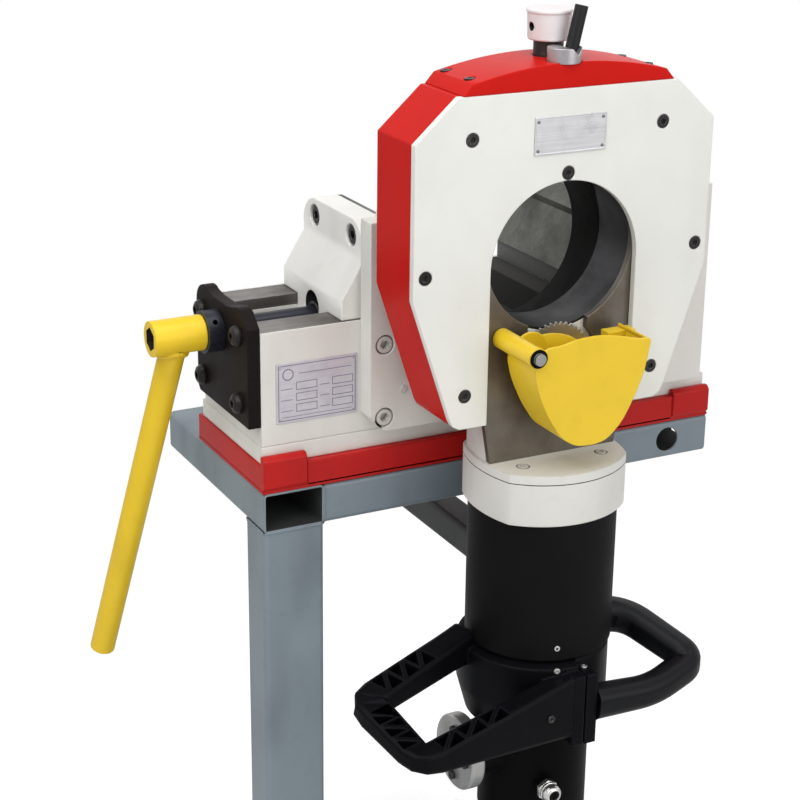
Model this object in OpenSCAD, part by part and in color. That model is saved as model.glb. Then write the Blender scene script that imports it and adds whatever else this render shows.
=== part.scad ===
// Orbital pipe cutting machine on a bench stand.
// The cutting head turns round the pipe on a ring bearing in the vise plate.
// Coordinates inside the modules start on the pipe axis at the front face of the head:
// X to the right, Y along the pipe away from the operator, Z up.

/* [Pipe passage] */
// Height of the pipe axis above the floor
axis_h = 880; // [820:5:960]
// Radius of the bore through the slide
bore_r = 85; // [80:0.5:88]
// Radius of the arch and half the slot in the front plate
arch_r = 85; // [82:0.5:88]
// Rise of the slide above its concentric place at rest
slide_up = 15; // [8:1:20]

/* [Turning head] */
// Width across the head
head_w = 342; // [330:1:360]
// Flat top of the head above the pipe axis
head_top = 177; // [172:1:190]
// Bottom of the legs below the pipe axis
head_low = 159; // [154:1:165]
// Depth of the head, front plate included
head_d = 80; // [78:0.5:82]
// Thickness of the front plate
plate_t = 8; // [7:0.5:10]
// Width of the corner cut at the top
corner_w = 46.6; // [36:0.5:52]
// Height of the corner cut at the top
corner_h = 42; // [34:0.5:50]
// Start of the slanted flank below the pipe axis
flank_z = 19; // [10:1:40]
// Width across the feet of the legs
foot_w = 255; // [248:1:266]
// Round at the outer corner of each foot
foot_r = 11; // [6:0.5:14]
// Thickness of the rear wall of the housing
wall_t = 9.7; // [8:0.1:11]
// Width across the foot of the lid
lid_w = 240; // [232:1:248]
// Height of the steep ends of the lid
lid_side = 11; // [8:0.5:13]
// Height of the crown of the lid above the flat top
lid_rise = 25; // [22:0.5:30]

/* [Slide and feed] */
// Width of the slide
slide_w = 200; // [192:1:206]
// Thickness of the steel face plate of the slide
face_t = 7.6; // [6.5:0.1:9]
// Top of the slide above its bore centre
slide_top = 103; // [100:0.5:108]
// Thickness of the bore sleeve
sleeve_t = 3; // [2:0.5:4]
// Place of the feed dial behind the front face
dial_y = 47; // [46.5:0.5:54]
// Radius of the dial knob
dial_r = 23; // [20:0.5:26]
// Height of the dial knob
dial_h = 30; // [24:0.5:38]
// Height of the black collar under the dial
collar_h = 17; // [12:0.5:22]
// Radius of the feed screw
feed_r = 8; // [6:0.5:10]
// Length of the clamp lever
lever_len = 49; // [40:1:64]
// Lean of the clamp lever from upright
lever_lean = 13; // [6:1:20]

/* [Blade and guard] */
// Radius of the saw blade
blade_r = 45; // [40:0.5:46]
// Thickness of the saw blade
blade_t = 2; // [1.5:0.1:2.5]
// Teeth on the saw blade
blade_teeth = 44; // [30:1:60]
// Arbor axis below the bore centre of the slide
arbor_drop = 124; // [123:0.5:130]
// Radius of the arbor
arbor_r = 10; // [8:0.5:11]
// Depth of the guard in front of the head
guard_d = 62; // [50:1:75]
// Width of the guard
guard_w = 136; // [130:1:140]
// Wall of the guard
guard_t = 3; // [2:0.5:4]
// Radius of the guard's hinge pin
hinge_r = 6; // [5:0.5:7]

/* [Gear drive] */
// Module of the spur pair
spur_m = 1; // [0.9:0.05:1.1]
// Teeth of the motor pinion
motor_teeth = 10; // [10:1:12]
// Teeth of the spur gear on the drive shaft
drive_teeth = 30; // [28:1:32]
// Module of the bevel pair
bevel_m = 1.5; // [1.3:0.05:1.5]
// Teeth of the bevel pinion
pinion_teeth = 12; // [12:1:13]
// Teeth of the bevel gear on the arbor
gear_teeth = 36; // [33:1:36]
// Radius of the drive shaft
drive_r = 6.5; // [5:0.5:7]

/* [Motor] */
// Radius of the motor housing
motor_r = 79; // [74:0.5:80]
// Motor axis behind the front face
motor_y = 25; // [22:0.5:26]
// Top of the slide's flange below the pipe axis at rest
flange_z = 206; // [200:0.5:214]
// Thickness of the slide's flange
flange_t = 10; // [8:0.5:14]
// Height of the gear case
case_h = 46; // [42:0.5:56]
// Length of the motor housing
motor_len = 156; // [140:1:175]
// Radius of the motor tail
tail_r = 60; // [55:0.5:64]
// Length of the motor tail
tail_len = 220; // [200:1:240]
// Radius of the motor shaft
shaft_r = 6; // [5:0.5:8]
// Wall of the motor housing and tail
motor_wall = 6; // [4:0.5:8]
// Reach of the left handle from the motor axis
left_reach = 221; // [210:1:235]
// Reach of the right handle from the motor axis
right_reach = 156; // [145:1:165]
// Thickness of the handle arms
grip_w = 30; // [26:0.5:34]
// Height of the handle arms
grip_h = 36; // [32:0.5:40]
// Middle of the handle clamp below the motor
grip_drop = 54; // [50:0.5:58]
// Radius of the handle collar
collar_r = 77; // [74:0.5:79]
// Radius of the side cap
cap_r = 42; // [36:0.5:44]
// Face of the side cap from the motor axis
cap_out = 100; // [94:0.5:106]
// Side cap below the motor
cap_drop = 127; // [122:1:140]

/* [Vise] */
// Gap between the head and the vise plate
head_gap = 30; // [28:0.5:36]
// Thickness of the vise plate
vise_plate_t = 24; // [20:0.5:30]
// Running radius of the ring bearing
hub_r = 112; // [108:0.5:116]
// Inner radius of the ring bearing
hub_in_r = 91; // [90:0.5:96]
// Length of the vise body
body_w = 537; // [510:1:560]
// Depth of the vise body along the pipe
body_d = 158; // [150:1:170]
// Height of the vise body
body_h = 123; // [116:1:130]
// Ways below the pipe axis
way_z = 76; // [74:0.5:80]
// Left end of the vise body from the pipe axis
body_left = 274.6; // [262:0.5:285]
// Width of each way bar
way_w = 37; // [32:0.5:42]
// Thickness of each way bar
way_t = 12; // [10:0.5:14]
// Thickness of the end plate
end_t = 14; // [10:0.5:18]
// Radius of the spindle
spindle_r = 12; // [10:0.5:13]
// Spindle axis below the ways
spindle_drop = 16; // [15:0.5:18]
// Left face of the moving jaw from the pipe axis
jaw_left = 181; // [176:0.5:186]
// Top of the jaws above the pipe axis
jaw_top = 25; // [18:0.5:34]
// Thickness of the upright of a jaw
jaw_t = 30; // [26:0.5:34]
// Length of the jaws along the pipe
jaw_d = 148; // [136:1:150]
// Length of the crank arm
crank_len = 420; // [360:5:480]
// Radius of the crank arm
crank_r = 14; // [12:0.5:16]
// Lean of the crank arm away from the vise
crank_lean = 8; // [0:1:15]
// Hang of the crank arm towards the rear
crank_hang = 16; // [0:1:30]

/* [Base and stand] */
// Width of the base
base_w = 560; // [545:1:590]
// Left end of the base from the pipe axis
base_left = 277; // [272:0.5:290]
// Depth of the red base
base_d = 182; // [176:1:200]
// Thickness of the red base
base_t = 26.5; // [20:0.5:32]
// Thickness of the white base plate
slab_t = 20; // [16:0.5:24]
// Ledge of the red base in front of the vise body
ledge = 8; // [6:0.5:12]
// Thickness of the stand's top sheet
sheet_t = 3; // [2:0.5:5]
// Width of the stand tube
tube_w = 70; // [60:1:80]
// Height of the stand tube
tube_h = 45; // [40:1:50]
// Depth of the posts
post_d = 50; // [40:1:60]
// Wall of the stand tube
tube_t = 3; // [2:0.5:4]
// Depth of the stand's top frame
stand_d = 276; // [260:1:320]
// Right post from the pipe axis
post_x = 20; // [10:1:30]
// Brace below the top frame
brace_drop = 127; // [110:1:150]
// Width of the brace tube
brace_w = 40; // [30:1:50]
// Length of the floor skids
skid_len = 495; // [470:5:560]
// Front end of the skids in front of the head
skid_front = 150; // [120:5:200]
// Anchor holes from the ends of the skids
anchor_in = 40; // [30:1:60]
// Radius of the anchor holes
anchor_r = 7; // [6:0.5:8]

/* [Hidden] */
$fn = 64;
// Running clearance of shafts and bearings, on the radius
run = 0.05;
// Clearance between flat sliding faces
glide = 0.3;
// Clearance of screws in their holes
loose = 0.2;

// Part frame: the origin lies on the floor between the four anchor holes
left_post_x = -base_left + tube_w / 2;
right_post_x = post_x + tube_w / 2;
axis_x = -(left_post_x + right_post_x) / 2;
face_y = skid_front - skid_len / 2;

// Levels and depths along the machine
bore_z = slide_up;
arbor_z = bore_z - arbor_drop;
slide_y0 = plate_t + 0.4;
body_front = slide_y0 + face_t;
slide_y1 = head_d - wall_t - glide;
way_roof = bore_z + slide_top + 44;
plate_y = head_d + head_gap;
vise_y0 = plate_y + vise_plate_t;
vise_y1 = vise_y0 + body_d;
vise_y = (vise_y0 + vise_y1) / 2;
spindle_z = -way_z - spindle_drop;
slab_z1 = -way_z - body_h;
slab_z0 = slab_z1 - slab_t;
base_z0 = slab_z0 - base_t;
rail_z1 = base_z0 - sheet_t;
rail_z0 = rail_z1 - tube_h;
base_y0 = vise_y0 - ledge;
base_right = base_w - base_left;
floor_z = -axis_h;
case_z1 = -flange_z - flange_t;
case_z0 = case_z1 - case_h;
motor_z0 = case_z0 - motor_len;
tail_z0 = motor_z0 - tail_len;
spur_gap = spur_m * (motor_teeth + drive_teeth) / 2;
drive_y = motor_y + spur_gap;
pinion_r = bevel_m * pinion_teeth / 2;
gear_r = bevel_m * gear_teeth / 2;
cone = sqrt(pinion_r * pinion_r + gear_r * gear_r);
channel_y0 = vise_y0 + 4 + way_w;
channel_y1 = vise_y1 - 4 - way_w;
hinge_x = 19 - arch_r;
hinge_z = bore_z - 86;

white = [0.93, 0.92, 0.87];
red = [0.78, 0.13, 0.11];
yellow = [0.96, 0.82, 0.08];
black = [0.06, 0.06, 0.065];
steel = [0.55, 0.55, 0.55];
bright = [0.75, 0.75, 0.76];
bronze = [0.72, 0.52, 0.28];
grey = [0.56, 0.63, 0.64];

// Moves the pipe axis to its place above the floor
module at_axis() { translate([axis_x, face_y, axis_h]) children(); }

// Profiles and rods along each axis
module xz(y0, y1) { translate([0, y1, 0]) rotate([90, 0, 0]) linear_extrude(y1 - y0) children(); }
module yz(x0, x1) { translate([x0, 0, 0]) rotate([90, 0, 90]) linear_extrude(x1 - x0) children(); }
module rod_x(r, x0, x1) { translate([x0, 0, 0]) rotate([0, 90, 0]) cylinder(r = r, h = x1 - x0); }
module rod_y(r, y0, y1) { translate([0, y1, 0]) rotate([90, 0, 0]) cylinder(r = r, h = y1 - y0); }
module rod_z(r, z0, z1) { translate([0, 0, z0]) cylinder(r = r, h = z1 - z0); }
module block(a, b) { translate(a) cube(b - a); }
module both_x() { children(); mirror([1, 0, 0]) children(); }

// Rectangle with rounded corners, as points
function rounded(x0, y0, x1, y1, r, step = 15) = [
  for (c = [[x1 - r, y1 - r, 0], [x0 + r, y1 - r, 90], [x0 + r, y0 + r, 180], [x1 - r, y0 + r, 270]])
  for (a = [0:step:90]) [c[0] + r * cos(c[2] + a), c[1] + r * sin(c[2] + a)]];
function unit(v) = v / norm(v);
// Moves every side of a counter-clockwise outline inwards by d
function inset(p, d) = let (n = len(p)) [for (i = [0:n - 1])
  let (u = unit(p[i] - p[(i + n - 1) % n]), v = unit(p[(i + 1) % n] - p[i]))
  let (s = [-u[1] - v[1], u[0] + v[0]], k = 1 + u * v)
  p[i] + s * d / k];
// Cuts the corners of a closed outline n times
function smooth(p, n) = n == 0 ? p : let (m = len(p))
  smooth([for (i = [0:m - 1]) each [p[i] * 0.8 + p[(i + 1) % m] * 0.2, p[i] * 0.2 + p[(i + 1) % m] * 0.8]], n - 1);
// Section of [sideways, up] points square to a path at its point i
function ring_at(path, i, sec) = let (n = len(path))
  let (t = unit(path[min(i + 1, n - 1)] - path[max(i - 1, 0)]))
  let (s = unit(cross(t, [0, 0, 1])), u = cross(s, t))
  [for (q = sec) path[i] + s * q[0] + u * q[1]];

// Involute teeth: half the angle of a tooth at radius r
function involute(a) = tan(a) * 180 / PI - a;
function half_tooth(r, rp, n, thin) = let (rb = rp * cos(20))
  90 / n - thin / rp * 90 / PI + involute(20) - involute(acos(min(1, rb / max(r, rb))));
function spur_points(n, m, thin) = let (rp = n * m / 2)
  let (rs = [rp - 1.2 * m, rp - 0.6 * m, rp - 0.2 * m, rp + 0.3 * m, rp + 0.85 * m])
  [for (i = [0:n - 1]) each concat(
    [for (r = rs) let (a = 360 / n * i - half_tooth(r, rp, n, thin)) [r * cos(a), r * sin(a)]],
    [for (k = [4:-1:0]) let (r = rs[k], a = 360 / n * i + half_tooth(r, rp, n, thin)) [r * cos(a), r * sin(a)]])];
// Teeth of a bevel gear on the plane of its large end, h from the point of the cone
function bevel_points(n, rp, h, m, thin) = let (d = atan(rp / h), rv = rp / cos(d))
  let (xs = [-1.2 * m, -0.6 * m, -0.2 * m, 0.3 * m, 0.85 * m])
  [for (i = [0:n - 1]) each concat(
    [for (x = xs) let (r = h * tan(d + x / cone * 180 / PI))
      let (a = 360 / n * i - half_tooth(rv + x, rv, n / cos(d), thin) / cos(d)) [r * cos(a), r * sin(a)]],
    [for (k = [4:-1:0]) let (x = xs[k], r = h * tan(d + x / cone * 180 / PI))
      let (a = 360 / n * i + half_tooth(rv + x, rv, n / cos(d), thin) / cos(d)) [r * cos(a), r * sin(a)]])];
module bevel_teeth(n, rp, h, share) {
  linear_extrude(h * share, scale = 1 - share) polygon(bevel_points(n, rp, h, bevel_m, 0.16));
}

// Socket head screw along Y with its head at the front, tip at y = len
module cap_screw(head_r, head_h, r, len) {
  difference() {
    union() {
      rod_y(head_r, 0, head_h);
      rod_y(r, 0, len);
    }
    translate([0, 0.6 * head_h, 0]) rotate([90, 0, 0]) cylinder(r = head_r * 0.55, h = head_h, $fn = 6);
  }
}

// Rectangular steel tube along X, Y or Z between two corners
module tube_x(a, b) {
  yz(a[0], b[0]) difference() {
    polygon(rounded(a[1], a[2], b[1], b[2], 2 * tube_t));
    polygon(rounded(a[1] + tube_t, a[2] + tube_t, b[1] - tube_t, b[2] - tube_t, tube_t));
  }
}
module tube_y(a, b) {
  xz(a[1], b[1]) difference() {
    polygon(rounded(a[0], a[2], b[0], b[2], 2 * tube_t));
    polygon(rounded(a[0] + tube_t, a[2] + tube_t, b[0] - tube_t, b[2] - tube_t, tube_t));
  }
}
module tube_z(a, b) {
  translate([0, 0, a[2]]) linear_extrude(b[2] - a[2]) difference() {
    polygon(rounded(a[0], a[1], b[0], b[1], 2 * tube_t));
    polygon(rounded(a[0] + tube_t, a[1] + tube_t, b[0] - tube_t, b[1] - tube_t, tube_t));
  }
}

// Stand: welded frame of rectangular tube
rail_y1 = base_y0 + stand_d;
module left_rail() {
  color(grey) at_axis() tube_y([-base_left, base_y0, rail_z0], [-base_left + tube_w, rail_y1, rail_z1]);
}
module front_rail() {
  color(grey) at_axis() difference() {
    tube_x([-base_left + tube_w, base_y0, rail_z0], [base_right, base_y0 + tube_w, rail_z1]);
    translate([base_right - 54, 0, rail_z0 + tube_h / 2]) rod_y(tube_h * 0.32, base_y0 - 1, base_y0 + tube_t + 1);
  }
}
module rear_rail() {
  color(grey) at_axis() tube_x([-base_left + tube_w, rail_y1 - tube_w, rail_z0], [base_right, rail_y1, rail_z1]);
}
module right_rail() {
  color(grey) at_axis()
    tube_y([base_right - tube_w, base_y0 + tube_w, rail_z0], [base_right, rail_y1 - tube_w, rail_z1]);
}
module posts() {
  color(grey) at_axis() for (x = [-base_left, post_x])
    tube_z([x, base_y0, floor_z + tube_h], [x + tube_w, base_y0 + post_d, rail_z0]);
}
module skids() {
  color(grey) at_axis() for (x = [-base_left, post_x]) difference() {
    tube_y([x, -skid_front, floor_z], [x + tube_w, skid_len - skid_front, floor_z + tube_h]);
    for (y = [anchor_in - skid_front, skid_len - skid_front - anchor_in])
      translate([x + tube_w / 2, y, 0]) rod_z(anchor_r, floor_z - 1, floor_z + tube_h + 1);
  }
}
module floor_bar() {
  color(grey) at_axis()
    tube_x([-base_left + tube_w, base_y0, floor_z], [post_x, base_y0 + post_d, floor_z + tube_h]);
}
brace_z = rail_z0 - brace_drop;
module brace() {
  color(grey) at_axis() {
    tube_y([post_x, base_y0 + post_d, brace_z], [post_x + brace_w, rail_y1, brace_z + brace_w - 2]);
    tube_z([post_x, rail_y1 - brace_w, brace_z + brace_w - 2], [post_x + brace_w, rail_y1, rail_z0]);
  }
}
module top_sheet() {
  color(grey) at_axis() block([-base_left, base_y0, rail_z1], [base_right, base_y0 + base_d, base_z0]);
}

// Base: red tray with raised corner lugs round a white slab
lug_h = 11;
lug_out = 2.5;
lug_w = 50;
module red_base() {
  color(red) at_axis() {
    block([-base_left, base_y0, base_z0], [base_right, base_y0 + base_d, slab_z0]);
    for (x = [[-base_left, 0], [base_right - lug_w, -4]])
      yz(x[0], x[0] + lug_w) polygon([[base_y0 - lug_out, base_z0 + 3], [base_y0 + 1, base_z0 + 1],
        [vise_y0 - glide, base_z0 + 1], [vise_y0 - glide, slab_z0 + lug_h + x[1]],
        [base_y0 + 2, slab_z0 + lug_h + x[1]], [base_y0 - lug_out, slab_z0 + lug_h + x[1] - 4]]);
  }
}
module base_slab() {
  color(white) at_axis() block([-body_left, vise_y0, slab_z0], [base_right - 3, base_y0 + base_d - ledge, slab_z1]);
}

// Vise body: cored casting with two ways, a spindle channel and a trough under the pipe
trough_x = 58;
channel_z = -way_z - 54;
body_right = body_w - body_left;
module vise_body() {
  color(white) at_axis() difference() {
    block([-body_left, vise_y0, slab_z1], [body_right, vise_y1, -way_z]);
    block([-body_left - 1, channel_y0, channel_z], [18 - trough_x, channel_y1, 0]);
    block([-trough_x, vise_y0 - 1, -way_z - 36], [trough_x, vise_y1 + 1, 0]);
    for (y = [vise_y0 + 4, channel_y1])
      block([-body_left - 1, y, -way_z - way_t], [-trough_x + 1, y + way_w, 0]);
    block([16 - body_left, vise_y0 + 16, slab_z1 - 1], [body_right - 16, vise_y1 - 16, channel_z - 14]);
    for (p = vise_screws) translate([p[0], vise_y0, p[1]]) rod_y(6 + loose, -1, 15);
    for (y = end_y) translate([0, y, end_z[1]]) rod_x(4 + loose, -body_left - 1, 14.5 - body_left);
  }
}
module way_bars() {
  color(steel) at_axis() difference() {
    for (y = [vise_y0 + 4, channel_y1])
      block([-body_left, y, -way_z - way_t], [-trough_x, y + way_w, -way_z]);
    for (y = end_y) translate([0, y, end_z[0]]) rod_x(4 + loose, -body_left - 1, 14.5 - body_left);
  }
}

// Vise plate: carries the ring bearing of the head in front of the vise body
plate_left = 162;
plate_low = way_z + 118;
plate_right = body_right - 5;
vise_screws = [[-145, -98], [-145, 16 - plate_low], [-94, 32 - plate_low],
  [145, -98], [145, 16 - plate_low], [94, 32 - plate_low]];
groove_y = plate_y + vise_plate_t - 10;
ring_r = hub_r + 12;
module vise_plate() {
  color(white) at_axis() difference() {
    union() {
      xz(plate_y, vise_y0) polygon([[-plate_left, 33], [-plate_left, 18 - plate_low], [18 - plate_left, -plate_low],
        [plate_right, -plate_low], [plate_right, 33]]);
      rod_y(ring_r + 26, plate_y, vise_y0);
    }
    rod_y(hub_r + run, plate_y - 1, vise_y0 + 1);
    rod_y(ring_r + 1, groove_y, vise_y0 + 1);
    for (p = vise_screws) translate([p[0], 0, p[1]]) {
      rod_y(10.5, plate_y - 1, plate_y + 12.5);
      rod_y(6 + loose, plate_y, vise_y0 + 1);
    }
  }
}
module vise_plate_screws() {
  color(bright) at_axis() for (p = vise_screws)
    translate([p[0], plate_y + 0.5, p[1]]) cap_screw(9, 12, 6, vise_plate_t + 14);
}

// End plate at the crank side: two rounded ears with a shallow dip between them
end_y = [vise_y - 55, vise_y + 44];
end_z = [-way_z - way_t / 2, -way_z - 79];
module end_plate() {
  color(black) at_axis() difference() {
    yz(-body_left - end_t, -body_left) polygon(concat(
      [[vise_y0, -way_z - 101], [vise_y + 57, -way_z - 101], [vise_y + 62, -way_z - 96]],
      [for (a = [0:15:120]) [vise_y + 40 + 22 * cos(a), -way_z + 0 + 22 * sin(a)]],
      [[vise_y + 14, -way_z + 17], [vise_y - 22, -way_z + 17]],
      [for (a = [60:15:120]) [vise_y - 52 + 22 * cos(a), -way_z + 1 + 22 * sin(a)]],
      [[vise_y0, -way_z + 6]]));
    translate([0, vise_y, spindle_z]) rod_x(spindle_r + run, -body_left - end_t - 1, 1 - body_left);
    for (y = end_y) for (z = end_z) translate([0, y, z]) rod_x(4 + loose, -body_left - end_t - 1, 1 - body_left);
  }
}
module end_plate_screws() {
  color(black) at_axis() for (y = end_y) for (z = end_z) translate([-body_left - end_t, y, z]) difference() {
    union() {
      rotate([0, -90, 0]) rotate_extrude() polygon([[0, 0], [11, 0], [11, 3], [9.5, 6.5], [6, 8.6], [0, 9]]);
      rod_x(4, -1, end_t + 14);
    }
    translate([-10, 0, 0]) rotate([0, 90, 0]) cylinder(r = 4.6, h = 5, $fn = 6);
  }
}

// Jaws: outline of the left one, the right one is its mirror image
foot_z = 21 - way_z;
jaw_back = jaw_left - 24;
jaw_face = jaw_back - jaw_t;
jaw_toe = jaw_face - 39;
jaw_y0 = vise_y - jaw_d / 2;
jaw_y1 = vise_y + jaw_d / 2;
jaw_screw_y = [vise_y - 45, vise_y + 45];
jaw_screw_z = jaw_top - 19;
module jaw_outline() {
  polygon([[-jaw_left, -way_z], [-jaw_toe, -way_z], [-jaw_toe, foot_z], [-jaw_face, foot_z], [-jaw_face, jaw_top],
    [-jaw_back, jaw_top], [-jaw_back, jaw_top - 41], [-jaw_left, foot_z]]);
}
// Rounds the upper corners of a jaw as seen along X
module jaw_crown() {
  yz(-300, 300) polygon(concat([[jaw_y0, -way_z - 1], [jaw_y1, -way_z - 1]],
    [for (a = [0:10:90]) [jaw_y1 - 30 + 30 * cos(a), jaw_top - 30 + 30 * sin(a)]],
    [for (a = [90:10:180]) [jaw_y0 + 30 + 30 * cos(a), jaw_top - 30 + 30 * sin(a)]]));
}
module insert_outline() {
  polygon([[-jaw_face, foot_z], [3 - jaw_toe, foot_z], [-jaw_face + 17, 0],
    [-jaw_face + 30 - 13 * 16 / jaw_top, jaw_top - 16], [-jaw_face + 4, jaw_top], [-jaw_face, jaw_top]]);
}
module insert_body() {
  difference() {
    intersection() {
      xz(jaw_y0, jaw_y1) insert_outline();
      jaw_crown();
    }
    for (y = jaw_screw_y) translate([0, y, jaw_screw_z]) rod_x(6 + loose, -jaw_face - 1, 12 - jaw_face);
  }
}
module fixed_jaw() {
  color(white) at_axis() mirror([1, 0, 0]) intersection() {
    xz(jaw_y0, jaw_y1) jaw_outline();
    jaw_crown();
  }
}
module fixed_insert() {
  color(steel) at_axis() mirror([1, 0, 0]) insert_body();
}
nut_r = spindle_r + 8;
nut_x = [-jaw_left + 41, -jaw_left + 75];
module moving_jaw() {
  color(white) at_axis() difference() {
    union() {
      translate([0, 0, glide]) intersection() {
        xz(jaw_y0, jaw_y1) jaw_outline();
        jaw_crown();
      }
      block([-jaw_left, channel_y0 + glide, -way_z - 46], [-jaw_toe, channel_y1 - glide, 1 - way_z]);
    }
    translate([0, vise_y, spindle_z]) {
      rod_x(spindle_r + 1.5, -jaw_left - 1, 1 - jaw_toe);
      rod_x(nut_r, nut_x[0], nut_x[1]);
      rod_x(spindle_r + 5, -jaw_left - 1, nut_x[0] + 1);
    }
    translate([0, vise_y, spindle_z + 12]) rod_x(spindle_r + 5, -jaw_left - 1, 12 - jaw_left);
    for (y = jaw_screw_y) translate([0, y, jaw_screw_z + glide]) {
      rod_x(6 + loose, -jaw_back - 1, 1 - jaw_face);
      rod_x(12, -jaw_back - 60, 15 - jaw_back);
    }
  }
}
module moving_insert() {
  color(steel) at_axis() translate([0, 0, glide]) insert_body();
}
module jaw_screws() {
  color(black) at_axis() for (y = jaw_screw_y) translate([2 - jaw_back, y, jaw_screw_z + glide])
    rotate([0, 0, -90]) cap_screw(9.5, 13, 6, jaw_t + 8);
}
module jaw_nut() {
  color(bronze) at_axis() translate([0, vise_y, spindle_z]) difference() {
    rod_x(nut_r, nut_x[0], nut_x[1]);
    rod_x(spindle_r + run, nut_x[0] - 1, nut_x[1] + 1);
  }
}

// Spindle with its stop collar and the crank
collar_x = -body_left - end_t - 18.4;
hub_x = collar_x - 57;
module spindle() {
  color(steel) at_axis() translate([0, vise_y, spindle_z]) rod_x(spindle_r, hub_x + 12, -60);
}
module spindle_collar() {
  color(black) at_axis() translate([0, vise_y, spindle_z]) difference() {
    rod_x(spindle_r + 10.5, collar_x, collar_x + 18);
    rod_x(spindle_r + run, collar_x - 1, collar_x + 19);
    translate([collar_x + 9, 0, 0]) rotate([50, 0, 0]) rod_z(3, spindle_r, 40);
  }
}
module crank() {
  color(yellow) at_axis() translate([hub_x + 28.5, vise_y, spindle_z]) difference() {
    union() {
      rod_x(19, -28.5, 28.5);
      rotate([crank_hang, 0, 0]) rotate([0, crank_lean, 0]) {
        rod_z(crank_r, -crank_len, 0);
        translate([0, 0, -24]) cylinder(r1 = crank_r, r2 = crank_r + 3, h = 14);
      }
    }
    rod_x(spindle_r + run, -16.5, 40);
    translate([-40, 0, 0]) rotate([0, 90, 0]) cylinder(r = 12.7, h = 23.5, $fn = 6);
  }
}

// Outline of the head, from the top right corner round to the top left
head_half = [[head_w / 2 - corner_w, head_top], [head_w / 2, head_top - corner_h], [head_w / 2, -flank_z],
  [foot_w / 2, foot_r - head_low], [foot_w / 2 - 0.3 * foot_r, 0.4 * foot_r - head_low],
  [foot_w / 2 - foot_r, -head_low]];
module head_outline() {
  polygon(concat(head_half, [for (i = [5:-1:0]) [-head_half[i][0], head_half[i][1]]]));
}
// Screws of the front plate: x, z and length, the lowest between the slide and the slanted flank
leg_z = 35 - head_low;
flank_x = head_w / 2 + (foot_w - head_w) / 2 * (-flank_z - leg_z) / (head_low - foot_r - flank_z);
leg_x = (slide_w / 2 + glide) * 0.7 + flank_x * 0.3;
plate_screws = [for (s = [-1, 1]) each [[s * (head_w / 2 - 62), head_top - 42, 26],
  [s * (head_w / 2 - 13.5), 4, 26], [s * leg_x, leg_z, 26]]];
crown_screw = [0, arch_r + 8, plate_t - 0.4];
lid_screws_at = [for (s = [-1, 1]) for (y = [22, head_d - 10]) [s * (lid_w / 2 - 18.5), y]];
module housing() {
  color(red) at_axis() difference() {
    xz(plate_t, head_d) head_outline();
    block([-slide_w / 2 - glide, plate_t - 1, -head_low - 1], [slide_w / 2 + glide, head_d - wall_t, way_roof]);
    rod_y(hub_in_r, head_d - wall_t - 1, head_d + 1);
    translate([0, dial_y, 0]) rod_z(feed_r + 1, way_roof - 1, head_top + 1);
    for (p = plate_screws) translate([p[0], 0, p[1]]) rod_y(4 + loose, plate_t - 1, p[2] + 1);
    for (p = lid_screws_at) translate([p[0], p[1], 0]) rod_z(3 + loose, head_top - 14, head_top + 1);
    translate([clamp_x, clamp_y, 0]) rod_z(5 + loose, head_top - 12, head_top + 1);
  }
}
module front_plate() {
  color(white) at_axis() difference() {
    xz(0, plate_t) head_outline();
    rod_y(arch_r, -1, plate_t + 1);
    block([-arch_r, -1, -head_low - 1], [arch_r, plate_t + 1, 0]);
    for (p = concat(plate_screws, [crown_screw])) translate([p[0], 0, p[1]]) {
      rod_y(7.2, -1, 5);
      rod_y(4 + loose, -1, plate_t + 1);
    }
  }
}
module front_plate_screws() {
  color(black) at_axis() for (p = concat(plate_screws, [crown_screw]))
    translate([p[0], 0.2, p[1]]) cap_screw(6.8, 4.8, 4, p[2] - 0.2);
}

// Lid: crowned cover with flat seats for the dial and the clamp
seat_z = head_top + lid_rise - 2;
crown_half = lid_w / 2 - 10;
crown_s = lid_rise - lid_side;
lid_ridge = lid_w / 2 - 10 * (lid_rise + 5) / lid_side;
crown_r = (crown_half * crown_half + crown_s * crown_s) / 2 / crown_s;
module lid() {
  color(red) at_axis() difference() {
    intersection() {
      xz(0, head_d) polygon([[-lid_w / 2, head_top], [lid_w / 2, head_top], [lid_ridge, head_top + lid_rise + 5],
        [-lid_ridge, head_top + lid_rise + 5]]);
      translate([0, 0, head_top + lid_rise - crown_r]) rod_y(crown_r, -1, head_d + 1, $fn = 400);
    }
    translate([0, dial_y, 0]) rod_z(15.5, seat_z, seat_z + 20);
    translate([0, dial_y, 0]) rod_z(feed_r + 1, head_top - 1, seat_z + 20);
    translate([clamp_x, clamp_y, 0]) rod_z(clamp_r + 0.5, seat_z, seat_z + 20);
    translate([clamp_x, clamp_y, 0]) rod_z(5 + run, head_top - 1, seat_z + 20);
    for (p = lid_screws_at) translate([p[0], p[1], 0]) {
      rod_z(3 + loose, head_top - 1, head_top + 20);
      rod_z(5.6, head_top + lid_side - 2.6, head_top + 20);
    }
  }
}
module lid_screws() {
  color(black) at_axis() for (p = lid_screws_at) translate([p[0], p[1], head_top + lid_side + 2.6])
    rotate([-90, 0, 0]) cap_screw(5.2, 5, 3, 25);
}

// Ring bearing: hub bolted to the housing, kept in the vise plate by a ring
module ring_hub() {
  color(steel) at_axis() difference() {
    union() {
      rod_y(hub_r + 10, head_d, plate_y - glide);
      rod_y(hub_r, head_d, groove_y + 0.2);
    }
    rod_y(hub_in_r, head_d - 1, vise_y0);
  }
}
module retaining_ring() {
  color(steel) at_axis() difference() {
    rod_y(ring_r, groove_y + 0.2, vise_y0 - 1);
    rod_y(hub_in_r, groove_y, vise_y0);
  }
}

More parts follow.
